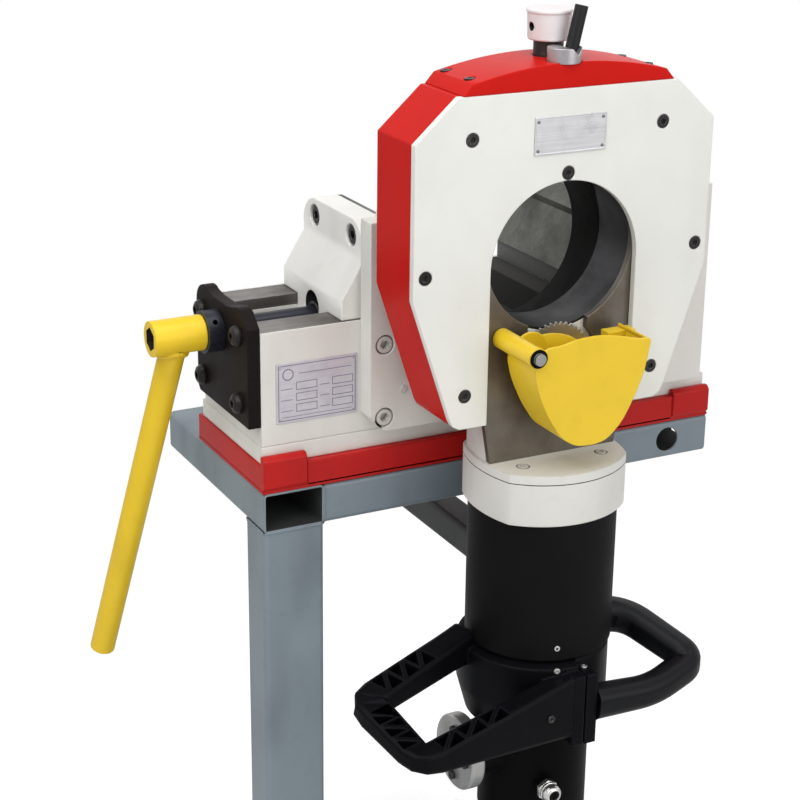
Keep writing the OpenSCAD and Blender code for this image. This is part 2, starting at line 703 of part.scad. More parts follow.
// Feed dial on the lid and the screw that lifts the slide
module dial_collar() {
  color(black) at_axis() translate([0, dial_y, 0]) difference() {
    rod_z(15, seat_z, seat_z + collar_h);
    rod_z(feed_r + run, seat_z - 1, seat_z + collar_h + 1);
  }
}
knob_z = seat_z + collar_h + glide;
module dial_knob() {
  color(white) at_axis() translate([0, dial_y, knob_z]) difference() {
    rotate_extrude() polygon([[0, 0], [dial_r - 3, 0], [dial_r - 2, 1], [dial_r - 1, dial_h - 4],
      [dial_r, dial_h - 3], [dial_r, dial_h - 1], [dial_r - 1, dial_h], [0, dial_h]]);
    rod_z(feed_r, -1, dial_h - 6);
    rotate([0, 0, 4]) translate([-dial_r - 1, 0, dial_h * 0.45]) rod_x(4.5, 0, 9);
  }
}
module feed_screw() {
  color(steel) at_axis() translate([0, dial_y, 0]) rod_z(feed_r, bore_z + slide_top - 27, knob_z + dial_h - 6);
}

// Clamp that locks the slide: round hub with a notch and a leaning lever
clamp_x = -2.4;
clamp_y = plate_t + 5;
clamp_r = 17;
clamp_h = 15;
module clamp_rod(r, extra) {
  translate([6.5, 0, seat_z + 6]) rotate([0, lever_lean, 0]) rod_z(r, -extra, lever_len);
}
module clamp_hub() {
  color(bright) at_axis() translate([clamp_x, clamp_y, 0]) difference() {
    union() {
      rod_z(clamp_r, seat_z + glide, seat_z + clamp_h);
      rod_z(5, head_top - 10, seat_z + clamp_h);
    }
    translate([6.5, 0, seat_z + clamp_h]) rotate([0, 45, 0]) cube([10, 60, 10], center = true);
    clamp_rod(6.6 + run, 0);
  }
}
module clamp_lever() {
  color(black) at_axis() translate([clamp_x, clamp_y, 0]) clamp_rod(6.6, 0);
}

// Outline of the gear case: four bowed sides
module case_solid(z0, z1, grow) {
  translate([0, motor_y, 0]) intersection() {
    translate([0, motor_r - 96.7, 0]) rod_z(96.7 + grow, z0, z1);
    translate([0, 96.7 - motor_r, 0]) rod_z(96.7 + grow, z0, z1);
    translate([motor_r - 138, 0, 0]) rod_z(138 + grow, z0, z1);
    translate([138 - motor_r, 0, 0]) rod_z(138 + grow, z0, z1);
  }
}
flange_screws = [[-47, motor_y - 36], [47, motor_y - 36], [-46, motor_y + 56], [46, motor_y + 56]];
// Slide: casting with the pipe bore, the arbor bearings and the flange for the gear case
module slide_body() {
  color(white) at_axis() difference() {
    union() {
      block([-slide_w / 2, body_front, arbor_z - 41], [slide_w / 2, slide_y1, bore_z + slide_top]);
      intersection() {
        case_solid(-flange_z - 1, arbor_z - 40, -3);
        block([-slide_w / 2, body_front, -flange_z - 1], [slide_w / 2, slide_y1, arbor_z - 40]);
      }
      case_solid(case_z1, -flange_z, 0);
    }
    translate([0, 0, bore_z]) rod_y(bore_r + sleeve_t, body_front - 1, slide_y1 + 1);
    translate([0, dial_y, 0]) rod_z(feed_r + run, bore_z, bore_z + slide_top + 1);
    translate([0, 0, arbor_z]) rod_y(arbor_r + 5, body_front - 1, slide_y1 + 1);
    translate([0, 0, arbor_z]) rod_y(gear_r + 6.5, drive_y + 3, drive_y + pinion_r + 6);
    translate([0, drive_y, 0]) rod_z(pinion_r + 5, case_z1 - 1, arbor_z - arbor_r);
    translate([hinge_x, 0, hinge_z]) rod_y(hinge_r, body_front - 1, body_front + 16);
    translate([stop_x, 0, stop_z]) rod_y(4, body_front - 1, body_front + 16);
    for (p = flange_screws) translate([p[0], p[1], 0]) rod_z(4 + loose, case_z1 - 1, 1 - flange_z);
  }
}
module slide_face() {
  color(steel) at_axis() difference() {
    xz(slide_y0, body_front) polygon([[-slide_w / 2, bore_z + slide_top], [-slide_w / 2, arbor_z - 41],
      [2 - arch_r, arbor_z - 50], [-75, -flange_z], [75, -flange_z], [arch_r - 2, arbor_z - 50],
      [slide_w / 2, arbor_z - 41], [slide_w / 2, bore_z + slide_top]]);
    translate([0, 0, bore_z]) rod_y(bore_r, slide_y0 - 1, body_front + 1);
    translate([0, 0, arbor_z]) rod_y(blade_r + 4, slide_y0 - 1, body_front + 1);
    block([-35, slide_y0 - 1, arbor_z], [35, body_front + 1, bore_z]);
    translate([hinge_x, 0, hinge_z]) rod_y(hinge_r, slide_y0 - 1, body_front + 1);
    translate([stop_x, 0, stop_z]) rod_y(4, slide_y0 - 1, body_front + 1);
  }
}
module bore_sleeve() {
  color(steel) at_axis() translate([0, 0, bore_z]) difference() {
    rod_y(bore_r + sleeve_t, body_front, slide_y1);
    rod_y(bore_r, body_front - 1, slide_y1 + 1);
    translate([0, dial_y, 0]) rod_z(feed_r + run, 0, bore_r + 2 * sleeve_t);
  }
}

// Guard: swings up on a pin at its upper left, rests on a stop at its upper right
guard_y0 = -guard_d;
guard_y1 = -7;
stop_x = arch_r - 15;
stop_z = hinge_z - 12;
guard_tab_z = stop_z + 5 + glide;
guard_outline = smooth([for (p = [[9, 8], [-3, -12], [3, -38], [16, -66], [32, -90], [50, -100.5], [70, -102],
  [86, -98.5], [103, -82], [116, -58], [126, -34], [131, -10], [133, 3], [118, 3.5], [98, 9], [74, 13.5], [48, 13],
  [28, 8.5]]) [hinge_x, hinge_z] + p * guard_w / 136], 2);
module guard_pin() {
  color(bright) at_axis() translate([hinge_x, 0, hinge_z]) {
    rod_y(hinge_r, guard_y0 - 7, body_front + 15);
    difference() {
      rod_y(hinge_r + 3.5, guard_y0 - 3.6, guard_y0 - 2.2);
      rod_y(hinge_r - 0.5, guard_y0 - 5, guard_y0);
    }
  }
}
module guard_stop() {
  color(bright) at_axis() translate([stop_x, 0, stop_z]) {
    rod_y(5, guard_y1 - 14, slide_y0);
    rod_y(4, slide_y0 - 1, body_front + 15);
  }
}
module blade_guard() {
  color(yellow) at_axis() difference() {
    union() {
      difference() {
        xz(guard_y0, guard_y1) polygon(guard_outline);
        xz(guard_y0 + guard_t, guard_y1 + 1) polygon(inset(guard_outline, guard_t));
        xz(guard_y0 + guard_t, guard_y1 + 1) translate([0, 9]) polygon(inset(guard_outline, guard_t));
      }
      translate([hinge_x, 0, hinge_z]) rod_y(hinge_r + 4.5, guard_y0 - 2, plate_t);
      translate([hinge_x + 24, 0, hinge_z - 12]) rod_y(20, guard_y1 - guard_t, guard_y1);
      block([stop_x - 28, guard_y1 - 14, guard_tab_z], [stop_x + 5, guard_y1, guard_tab_z + 6]);
    }
    translate([hinge_x, 0, hinge_z]) rod_y(hinge_r + run, guard_y0 - 10, plate_t + 1);
  }
}

// Saw blade with its arbor, clamping washer and screw
blade_y = slide_y0 + 2.6;
module saw_blade() {
  color(steel) at_axis() translate([0, 0, arbor_z]) difference() {
    xz(blade_y, blade_y + blade_t) polygon([for (i = [0:blade_teeth - 1]) let (s = 360 / blade_teeth)
      each [[blade_r * cos(i * s), blade_r * sin(i * s)],
        [blade_r * cos((i + 0.15) * s), blade_r * sin((i + 0.15) * s)],
        [(blade_r - 3.2) * cos((i + 0.4) * s), (blade_r - 3.2) * sin((i + 0.4) * s)]]]);
    rod_y(arbor_r - 2 + run, blade_y - 1, blade_y + blade_t + 1);
  }
}
shoulder_y = blade_y + blade_t;
module arbor() {
  color(bright) at_axis() translate([0, 0, arbor_z]) difference() {
    union() {
      rod_y(arbor_r - 2, blade_y - 2, shoulder_y);
      rod_y(arbor_r + 7, shoulder_y, body_front - glide);
      rod_y(arbor_r, shoulder_y, slide_y1 - 0.5);
    }
    rod_y(4, blade_y - 3, shoulder_y + 20);
  }
}
module blade_clamp() {
  color(bright) at_axis() translate([0, 0, arbor_z]) {
    difference() {
      rod_y(arbor_r + 6, blade_y - 3, blade_y);
      rod_y(arbor_r - 2 + run, blade_y - 2, blade_y + 1);
    }
    translate([0, blade_y - 9, 0]) cap_screw(6.5, 6, 4 - run, 28);
  }
}
module arbor_bushes() {
  color(bronze) at_axis() translate([0, 0, arbor_z]) for (y = [[body_front + 0.4, drive_y - pinion_r - 6],
    [drive_y + pinion_r + 6, slide_y1]]) difference() {
    rod_y(arbor_r + 5, y[0], y[1]);
    rod_y(arbor_r + run, y[0] - 1, y[1] + 1);
  }
}

// Bevel pair: gear on the arbor, pinion on the upright drive shaft
module bevel_gear() {
  color(steel) at_axis() translate([0, drive_y + pinion_r, arbor_z]) difference() {
    union() {
      rotate([90, 0, 0]) rotate([0, 0, -90 + 180 / gear_teeth]) bevel_teeth(gear_teeth, gear_r, pinion_r, 0.28);
      rod_y(gear_r - 6, 0, 3);
      rod_y(arbor_r + 4, 0, 6 - glide);
    }
    rod_y(arbor_r + run, -10, 10);
  }
}
module drive_shaft() {
  color(steel) at_axis() translate([0, drive_y, 0]) {
    rod_z(drive_r, case_z0 + 2, arbor_z - gear_r);
    translate([0, 0, arbor_z - gear_r]) rotate([0, 0, 90]) bevel_teeth(pinion_teeth, pinion_r, gear_r, 0.28);
  }
}
gear_z = [case_z1 - 30, case_z1 - 18];
module drive_gear() {
  color(steel) at_axis() translate([0, drive_y, 0]) {
    difference() {
      translate([0, 0, gear_z[0]]) linear_extrude(gear_z[1] - gear_z[0]) rotate(180 / drive_teeth - 90)
        polygon(spur_points(drive_teeth, spur_m, 0.16));
      rod_z(drive_r + run, gear_z[0] - 1, gear_z[1] + 1);
    }
  }
}

// Gear case, motor and tail
module gear_case() {
  color(white) at_axis() difference() {
    case_solid(case_z0, case_z1, 0);
    translate([0, drive_y - 8, 0]) rod_z(spur_m * drive_teeth / 2 + 17, case_z0 + 6, case_z1 + 1);
    translate([0, motor_y, 0]) rod_z(shaft_r + run, case_z0 - 1, case_z0 + 7);
    translate([0, drive_y, 0]) rod_z(drive_r + run, case_z0 + 1.5, case_z0 + 7);
    for (p = flange_screws) translate([p[0], p[1], 0]) rod_z(4 + loose, case_z1 - 17, case_z1 + 1);
  }
}
core_z = [motor_z0 + 26, case_z0 - 26];
module motor_housing() {
  color(black) at_axis() translate([0, motor_y, 0]) difference() {
    rotate_extrude() polygon([[0, motor_z0], [motor_r - 3, motor_z0], [motor_r, motor_z0 + 3], [motor_r, case_z0],
      [0, case_z0]]);
    rod_z(motor_r - motor_wall, motor_z0 + motor_wall, case_z0 + 1);
    rod_z(shaft_r + run, motor_z0 - 1, motor_z0 + motor_wall + 1);
  }
}
module motor_shaft() {
  color(bright) at_axis() translate([0, motor_y, 0]) {
    rod_z(shaft_r, motor_z0 + 1, case_z0 + 6);
    rod_z(spur_m * (motor_teeth / 2 - 1.2), case_z0 + 5, gear_z[1] + 1);
    translate([0, 0, gear_z[0] - 1]) linear_extrude(gear_z[1] - gear_z[0] + 2) rotate(90)
      polygon(spur_points(motor_teeth, spur_m, 0.16));
  }
}
module armature() {
  color([0.62, 0.4, 0.22]) at_axis() translate([0, motor_y, 0]) difference() {
    union() {
      rod_z(motor_r - motor_wall - 20, core_z[0], core_z[1]);
      rod_z(shaft_r + 12, core_z[0] - 14, core_z[0]);
    }
    rod_z(shaft_r, core_z[0] - 20, core_z[1] + 1);
  }
}
rocker_z = motor_z0 - 116;
cap_z = motor_z0 - cap_drop;
cap_t = cap_r * 0.4;
gland_z = motor_z0 - 157;
module motor_tail() {
  color(black) at_axis() translate([0, motor_y, 0]) difference() {
    union() {
      rotate_extrude() polygon([[0, tail_z0], [tail_r - 8, tail_z0], [tail_r - 2, tail_z0 + 3], [tail_r, tail_z0 + 9],
        [tail_r, motor_z0], [0, motor_z0]]);
      block([-17, tail_r - 14, rocker_z - 24], [17, tail_r + 2, rocker_z + 24]);
      translate([0, 0, cap_z]) rod_x(cap_r - 12, cap_t - cap_out, 10 - tail_r);
      translate([-22, 0, gland_z]) rod_y(9, -tail_r - 5, 10 - tail_r);
    }
    rod_z(tail_r - motor_wall, tail_z0 + motor_wall, motor_z0 - motor_wall);
    block([-11, tail_r - 30, rocker_z - 17], [11, tail_r + 3, rocker_z + 17]);
  }
}
module rocker() {
  color(black) at_axis() translate([0, motor_y + tail_r, rocker_z])
    yz(-11 + glide, 11 - glide) polygon([[-9, -13], [4, -15], [2.5, 0], [6, 15], [-9, 13]]);
}
// Side cap: round cover on the boss at the left of the tail
module side_cap() {
  color(bright) at_axis() translate([0, motor_y, cap_z]) rotate([0, -90, 0]) difference() {
    rotate_extrude() polygon([[0, cap_out - cap_t], [cap_r - 2, cap_out - cap_t], [cap_r, cap_out - cap_t + 2],
      [cap_r, cap_out - 2], [cap_r - 2, cap_out], [0, cap_out]]);
    rod_z(cap_r * 0.36, cap_out - 4, cap_out + 1);
    for (a = [0:90:270]) rotate(a) translate([cap_r * 0.66, 0, 0]) rod_z(3, cap_out - 12, cap_out + 1);
  }
}

// Handles: sloping loops with half collars that clamp round the motor tail
grip_z = motor_z0 - grip_drop;
function grip_section(w, h, r, step) = rounded(-w / 2, -h / 2, w / 2, h / 2, r, step);
// Rounds each corner of an open path of [x, y, z, width, height] points over a length d
function turn(p, d) = let (m = len(p)) concat([p[0]], [for (i = [1:m - 2])
  let (a = p[i] + (p[i - 1] - p[i]) * d / norm(p[i - 1] - p[i]), b = p[i] + (p[i + 1] - p[i]) * d / norm(p[i + 1] - p[i]))
  for (t = [0, 0.35, 0.65, 1]) a * (1 - t) * (1 - t) + p[i] * 2 * t * (1 - t) + b * t * t], [p[m - 1]]);
function place(p) = [p[0], p[1], p[2]];
module arm(path, r, step) {
  line = [for (p = path) place(p)];
  secs = [for (p = path) grip_section(p[3], p[4], r, step)];
  m = len(path);
  n = len(secs[0]);
  pts = [for (i = [0:m - 1]) each ring_at(line, i, secs[i])];
  sides = [for (i = [0:m - 2]) for (j = [0:n - 1]) let (k = (j + 1) % n)
    each [[i * n + j, i * n + k, (i + 1) * n + k], [i * n + j, (i + 1) * n + k, (i + 1) * n + j]]];
  caps = [for (j = [1:n - 2]) each [[0, j + 1, j], [(m - 1) * n, (m - 1) * n + j, (m - 1) * n + j + 1]]];
  polyhedron(points = pts, faces = concat(sides, caps));
}
// Pocket in the top of an arm between two of its points, cut in two by a diagonal rib
module pocket(a, b, rib) {
  t = unit(place(b) - place(a));
  s = unit(cross(t, [0, 0, 1]));
  u = cross(s, t);
  c = (place(a) + place(b)) / 2;
  w = (a[3] + b[3]) / 4 - 4;
  l = norm(place(b) - place(a)) / 2;
  h = (a[4] + b[4]) / 4;
  multmatrix([[s[0], t[0], u[0], c[0]], [s[1], t[1], u[1], c[1]], [s[2], t[2], u[2], c[2]]])
    translate([0, 0, h - 15]) linear_extrude(30) {
      polygon([[-w, -l], [w - rib, -l], [-w, l - rib]]);
      polygon([[w, l], [rib - w, l], [w, rib - l]]);
    }
}
lk = left_reach / 221;
rk = right_reach / 156;
left_corners = [for (p = [[-12, -88, 10, -4, 34], [-196, -106, -4, 2, -16], [-221, -29, 30, 8, -14], [-97, 11, 47, 2, -3],
  [-80, 16, 48, 4, 2]]) [p[0] * lk, motor_y + p[1] * lk, grip_z + p[2], grip_w + p[3], grip_h + p[4]]];
right_corners = [for (p = [[16, -90, 6, 4, -2], [92, -90, 2, 2, -5], [156, -74, 15, 2, -4], [109, -6, 52, 4, -2],
  [80, 2, 54, 4, 2]]) [p[0] * rk, motor_y + p[1] * rk, grip_z + p[2], grip_w + p[3], grip_h + p[4]]];
left_path = turn(left_corners, 16);
right_path = turn(right_corners, 22);
module handle_clamp() {
  translate([0, motor_y, 0]) block([1, -102, grip_z - 35], [14, -40, grip_z + 46]);
}
module half_collar(flare) {
  translate([0, motor_y, 0]) difference() {
    rotate_extrude() polygon([[tail_r - 1, grip_z - 34], [collar_r, grip_z - 34], [collar_r + flare, grip_z + 2],
      [collar_r + flare, motor_z0 - 4], [collar_r - 2, motor_z0 - 0.4], [tail_r - 1, motor_z0 - 0.4]]);
    block([-1, -120, grip_z - 40], [120, 120, motor_z0]);
  }
}
module motor_gap() {
  translate([0, motor_y, 0]) {
    rod_z(tail_r + run, tail_z0 - 1, motor_z0 + 1);
    rod_z(motor_r + run, motor_z0 - 0.4, case_z0);
  }
}
module left_handle() {
  a = left_corners;
  color(black) at_axis() difference() {
    union() {
      arm(left_path, 5, 45);
      mirror([1, 0, 0]) handle_clamp();
      half_collar(10);
    }
    for (k = [0:2]) pocket(a[1] + (a[2] - a[1]) * (0.2 + k * 0.21), a[1] + (a[2] - a[1]) * (0.38 + k * 0.21), 4);
    for (k = [0:2]) pocket(a[2] + (a[3] - a[2]) * (0.16 + k * 0.19), a[2] + (a[3] - a[2]) * (0.32 + k * 0.19), 4);
    for (k = [0:2]) pocket(a[1] + (a[0] - a[1]) * (0.12 + k * 0.15), a[1] + (a[0] - a[1]) * (0.25 + k * 0.15), 4);
    motor_gap();
  }
}
module right_handle() {
  color(black) at_axis() difference() {
    union() {
      arm(right_path, 12, 30);
      handle_clamp();
      mirror([1, 0, 0]) half_collar(0);
    }
    motor_gap();
  }
}

left_rail();
front_rail();
rear_rail();
right_rail();
posts();
skids();
floor_bar();
brace();
top_sheet();
red_base();
base_slab();
vise_body();
way_bars();
vise_plate();
vise_plate_screws();
end_plate();
end_plate_screws();
fixed_jaw();
fixed_insert();
moving_jaw();
moving_insert();
jaw_screws();
jaw_nut();
spindle();
spindle_collar();
crank();
housing();
front_plate();
front_plate_screws();
lid();
lid_screws();
ring_hub();
retaining_ring();
dial_collar();
dial_knob();
feed_screw();
clamp_hub();
clamp_lever();
slide_body();
slide_face();
bore_sleeve();
guard_pin();
guard_stop();
blade_guard();
saw_blade();
arbor();
blade_clamp();
arbor_bushes();
bevel_gear();
drive_shaft();
drive_gear();
gear_case();
motor_housing();
motor_shaft();
armature();
motor_tail();
side_cap();
left_handle();
right_handle();
rocker();
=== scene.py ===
import math
import bmesh
import bpy
from mathutils import Matrix, Vector


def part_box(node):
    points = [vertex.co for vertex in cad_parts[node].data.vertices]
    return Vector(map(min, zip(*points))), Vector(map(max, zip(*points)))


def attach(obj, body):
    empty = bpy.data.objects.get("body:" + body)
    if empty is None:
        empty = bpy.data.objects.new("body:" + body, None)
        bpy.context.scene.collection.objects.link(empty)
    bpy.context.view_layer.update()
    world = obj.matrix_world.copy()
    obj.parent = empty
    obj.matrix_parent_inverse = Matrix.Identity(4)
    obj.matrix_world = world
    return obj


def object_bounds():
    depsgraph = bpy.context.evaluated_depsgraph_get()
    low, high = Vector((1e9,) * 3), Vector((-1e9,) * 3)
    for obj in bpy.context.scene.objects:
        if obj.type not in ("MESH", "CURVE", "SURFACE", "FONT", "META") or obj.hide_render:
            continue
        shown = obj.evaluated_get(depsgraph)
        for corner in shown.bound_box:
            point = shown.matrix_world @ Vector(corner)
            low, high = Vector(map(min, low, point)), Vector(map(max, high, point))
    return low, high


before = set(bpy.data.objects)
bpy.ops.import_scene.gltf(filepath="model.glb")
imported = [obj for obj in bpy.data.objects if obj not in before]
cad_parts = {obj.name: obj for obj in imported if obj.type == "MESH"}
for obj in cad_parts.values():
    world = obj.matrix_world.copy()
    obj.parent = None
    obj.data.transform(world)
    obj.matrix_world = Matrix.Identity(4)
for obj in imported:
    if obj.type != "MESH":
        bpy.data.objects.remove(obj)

cad_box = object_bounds()

# Pipe axis: every place below is in millimetres from the point where the axis of
# the clamped pipe meets the front plate, whose top lies a set height above it.
mm = 0.001
plate_above_axis = 177
plate_low, plate_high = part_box("front_plate")
plate_middle = (plate_low[0] + plate_high[0]) / 2
pipe_axis = Vector((plate_middle, plate_low[1], plate_high[2] - plate_above_axis * mm))


def at(x, y, z):
    return pipe_axis + Vector((x, y, z)) * mm


# Stand: square tube rails, legs, skids and floor bar, cut from rolled steel, welded
# into one frame and sprayed with grey-blue enamel, with a brace in dull dark grey.
def rgb(red, green, blue):
    levels = (red / 255, green / 255, blue / 255)
    return [((c + 0.055) / 1.055) ** 2.4 if c > 0.04 else c / 12.92 for c in levels] + [1.0]


def shade(colour, amount):
    return [min(1.0, c * amount) for c in colour[:3]] + [1.0]


def join(tree, socket, value):
    if isinstance(value, bpy.types.NodeSocket):
        tree.links.new(value, socket)
    else:
        socket.default_value = value


def put(tree, kind, **settings):
    made = tree.nodes.new("ShaderNode" + kind)
    for name, value in settings.items():
        if name.replace("_", " ") in made.inputs:
            join(tree, made.inputs[name.replace("_", " ")], value)
        else:
            setattr(made, name, value)
    return made


def put_pair(tree, kind, operation, first, second):
    made = put(tree, kind, operation=operation)
    join(tree, made.inputs[0], first)
    join(tree, made.inputs[1], second)
    return made


def result_of(tree, operation, first, second):
    return put_pair(tree, "Math", operation, first, second).outputs[0]


def times(tree, first, second):
    return result_of(tree, "MULTIPLY", first, second)


def most(tree, first, *others):
    for other in others:
        first = result_of(tree, "MAXIMUM", first, other)
    return first


def mixed(tree, amount, first, second):
    made = tree.nodes.new("ShaderNodeMix")
    made.data_type = "RGBA"
    join(tree, made.inputs[0], amount)
    join(tree, made.inputs[6], first)
    join(tree, made.inputs[7], second)
    return made.outputs[2]


def spread(tree, value, low, high, to_low=0.0, to_high=1.0):
    reach = {"From_Min": low, "From_Max": high, "To_Min": to_low, "To_Max": to_high}
    return put(tree, "MapRange", Value=value, **reach).outputs[0]


def cloud(tree, where, scale, detail=3.0, stretch=None):
    if stretch:
        where = put(tree, "Mapping", Vector=where, Scale=stretch).outputs[0]
    return put(tree, "TexNoise", Vector=where, Scale=scale, Detail=detail, Roughness=0.55).outputs[0]


def place_in(tree):
    return put(tree, "TexCoord").outputs["Object"]


def blank(name, **sockets):
    made = bpy.data.materials.new(name)
    made.use_nodes = True
    tree = made.node_tree
    shader = tree.nodes["Principled BSDF"]
    for key, value in sockets.items():
        shader.inputs[key.replace("_", " ")].default_value = value
    return made, tree, shader, place_in(tree)


# Edge band: a mask along the rounded edges, used for worn paint and also for painted highlights and painted
# shade along edges.
def edge_band(tree, radius):
    flat, turned = 0.98, 0.84
    rounded = put(tree, "Bevel", samples=4, Radius=radius * mm).outputs[0]
    true_normal = put(tree, "NewGeometry").outputs["Normal"]
    bent = put_pair(tree, "VectorMath", "DOT_PRODUCT", rounded, true_normal)
    return rounded, spread(tree, bent.outputs["Value"], flat, turned)


def skinned(tree, shader, strength, depth, height, normal=None):
    skin = put(tree, "Bump", Strength=strength, Distance=depth * mm, Height=height)
    if normal is not None:
        join(tree, skin.inputs["Normal"], normal)
    join(tree, shader.inputs["Normal"], skin.outputs[0])


def enamel(name, colour, under, gloss, wear=0.6, grime=(70, 62, 52), dirt=0.16, specks=0.4,
           shine=0.45, peel=0.16):
    made, tree, shader, where = blank(name, Specular_IOR_Level=shine)
    broad, fine = cloud(tree, where, 5.0), cloud(tree, where, 70.0, 5.0)
    runs = cloud(tree, where, 1.0, 1.5, (22, 22, 7))
    tone = mixed(tree, spread(tree, broad, 0.3, 0.7), shade(colour, 0.94), shade(colour, 1.04))
    tone = mixed(tree, times(tree, spread(tree, runs, 0.5, 0.85), dirt), tone, rgb(*grime))
    tone = mixed(tree, times(tree, spread(tree, fine, 0.55, 0.85), dirt * specks), tone, rgb(*grime))
    rounded, edge = edge_band(tree, 1.6)
    bare = times(tree, times(tree, edge, spread(tree, fine, 0.42, 0.62)), wear)
    join(tree, shader.inputs["Base Color"], mixed(tree, bare, tone, under))
    join(tree, shader.inputs["Roughness"], spread(tree, broad, 0.3, 0.7, gloss - 0.05, gloss + 0.08))
    skinned(tree, shader, peel, 0.4, cloud(tree, where, 520.0, 2.0), rounded)
    return made


def dress(material, *names):
    for name in names:
        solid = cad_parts[name]
        if not solid.material_slots:
            solid.data.materials.append(material)
        for place in solid.material_slots:
            place.material = material


def within(material, low, high):
    tree = material.node_tree
    middle, half = (Vector(low) + Vector(high)) / 2, (Vector(high) - Vector(low)) / 2
    away = put_pair(tree, "VectorMath", "SUBTRACT", place_in(tree), middle)
    share = put_pair(tree, "VectorMath", "DIVIDE", away.outputs[0], half)
    size = put(tree, "VectorMath", operation="ABSOLUTE")
    join(tree, size.inputs[0], share.outputs[0])
    sides = put(tree, "SeparateXYZ", Vector=size.outputs[0])
    return result_of(tree, "LESS_THAN", most(tree, *sides.outputs), 1.0)


def darkened(material, mask, colour, rough=0.9):
    tree, shader = material.node_tree, material.node_tree.nodes["Principled BSDF"]
    for name, value in (("Base Color", colour), ("Roughness", [rough] * 3 + [1.0])):
        socket = shader.inputs[name]
        join(tree, socket, mixed(tree, mask, socket.links[0].from_socket, value))


def eased(width, *names, limit=35, clamp=False):
    for name in names:
        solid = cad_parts[name]
        solid.modifiers.new("whole", "WELD").merge_threshold = 0.01 * mm
        flat = solid.modifiers.new("flat", "DECIMATE")
        flat.decimate_type, flat.angle_limit = "DISSOLVE", math.radians(0.3)
        corner = solid.modifiers.new("corner", "BEVEL")
        corner.width, corner.segments = width * mm, 2
        corner.limit_method, corner.angle_limit = "ANGLE", math.radians(limit)
        corner.use_clamp_overlap = clamp
        even = solid.modifiers.new("even", "WEIGHTED_NORMAL")
        even.weight, even.keep_sharp = 50, False


rails = ("left_rail", "front_rail", "rear_rail", "right_rail")
legs = ("posts", "skids", "floor_bar", "brace")
inside_wall, past_end = 2.8 * mm, 1 * mm
bare_steel = rgb(92, 88, 84)
stand_grey = enamel("stand_grey", rgb(127, 140, 148), bare_steel, 0.42, wear=0.7,
                    grime=(52, 50, 46), dirt=0.3)
brace_grey = enamel("brace_grey", rgb(72, 74, 74), bare_steel, 0.5, wear=0.5,
                    grime=(40, 38, 36), dirt=0.3, shine=0.2)
hollows = []
for name in rails:
    low, high = (Vector(corner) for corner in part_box(name))
    across = 0 if high[0] - low[0] < high[1] - low[1] else 1
    for side, inset in ((across, inside_wall), (2, inside_wall), (1 - across, -past_end)):
        low[side], high[side] = low[side] + inset, high[side] - inset
    hollows.append(within(stand_grey, low, high))
# The insides of the rail tubes are painted near black: bare mill scale, and painted shade deep in the tubes.
darkened(stand_grey, most(stand_grey.node_tree, *hollows), rgb(38, 40, 40))
dress(stand_grey, *rails, *legs)
dress(brace_grey, "brace")
eased(0.8, *rails, *legs)


# Stand welds: short runs laid by hand at the joints of the tubes and painted over
# with the frame, ground flush at the back and the right.
def ring_of(shape, segments, radius, matrix):
    made = bmesh.ops.create_circle(shape, segments=segments, radius=radius, matrix=matrix)
    return list({edge for vert in made["verts"] for edge in vert.link_edges})


def bridged(shape, rings):
    for first, second in zip(rings, rings[1:]):
        bmesh.ops.bridge_loops(shape, edges=first + second)


def weld_ring(shape, centre, along, radius, step):
    side = along.orthogonal().normalized()
    other = along.cross(side)
    ripple = 0.84 + 0.13 * math.sin(2.3 * step) + 0.08 * math.sin(5.1 * step + 1.0)
    middle = centre + (side * math.sin(0.9 * step) + other * math.sin(0.7 * step)) * 0.2 * mm
    turn = Matrix((other, side, along)).transposed().to_4x4()
    return ring_of(shape, 10, radius * ripple, Matrix.Translation(middle) @ turn)


def weld_run(shape, start, end, wide):
    pitch = 1.5 * mm
    along = (end - start).normalized()
    steps = int((end - start).length / pitch)
    rings = []
    for step in range(steps + 1):
        taper = min(1.0, 0.5 + 0.2 * min(step, steps - step))
        rings.append(weld_ring(shape, start.lerp(end, step / steps), along, wide / 2 * mm * taper, step))
    bridged(shape, rings)
    bmesh.ops.edgeloop_fill(shape, edges=rings[0] + rings[-1])


def fit(name, shape, material, body, sharp=32):
    mesh = bpy.data.meshes.new(name)
    shape.to_mesh(mesh)
    shape.free()
    mesh.materials.append(material)
    for face in mesh.polygons:
        face.use_smooth = True
    mesh.set_sharp_from_angle(angle=math.radians(sharp))
    made = bpy.data.objects.new(name, mesh)
    bpy.context.scene.collection.objects.link(made)
    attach(made, body)
    return made


weld_wide, weld_slim = 3.6, 3.4
leg_spans, leg_faces, leg_depth = ((-277, -207), (20, 90)), (126.5, 175.8), (128, 174)
leg_top, leg_foot = -293.5, -835
rail_under, left_rail_edge, right_rail_span = -293.1, -207, (214, 280)
bar_ends, bar_faces, bar_low, bar_high = (-207, 20), (126.4, 175.6), -878, -836
welds = bmesh.new()
for left, right in leg_spans:
    for z in (leg_top, leg_foot):
        for y in leg_faces:
            weld_run(welds, at(left + 1, y, z), at(right - 1, y, z), weld_wide)
        for x in (left + 0.4, right - 0.4):
            weld_run(welds, at(x, leg_depth[0], z), at(x, leg_depth[1], z), weld_wide)
rail_face = leg_faces[0]
weld_run(welds, at(left_rail_edge, rail_face, -292), at(left_rail_edge, rail_face, -250), weld_slim)
for near, far in ((128, 195), (333, 399)):
    weld_run(welds, at(left_rail_edge, near, rail_under), at(left_rail_edge, far, rail_under), weld_slim)
for y in (196, 332):
    weld_run(welds, at(right_rail_span[0], y, rail_under), at(right_rail_span[1], y, rail_under), weld_slim)
for x in bar_ends:
    for y in bar_faces:
        weld_run(welds, at(x, y, bar_low), at(x, y, bar_high), weld_slim)
bmesh.ops.recalc_face_normals(welds, faces=welds.faces)
fit("stand_welds", welds, stand_grey, "stand", 60)

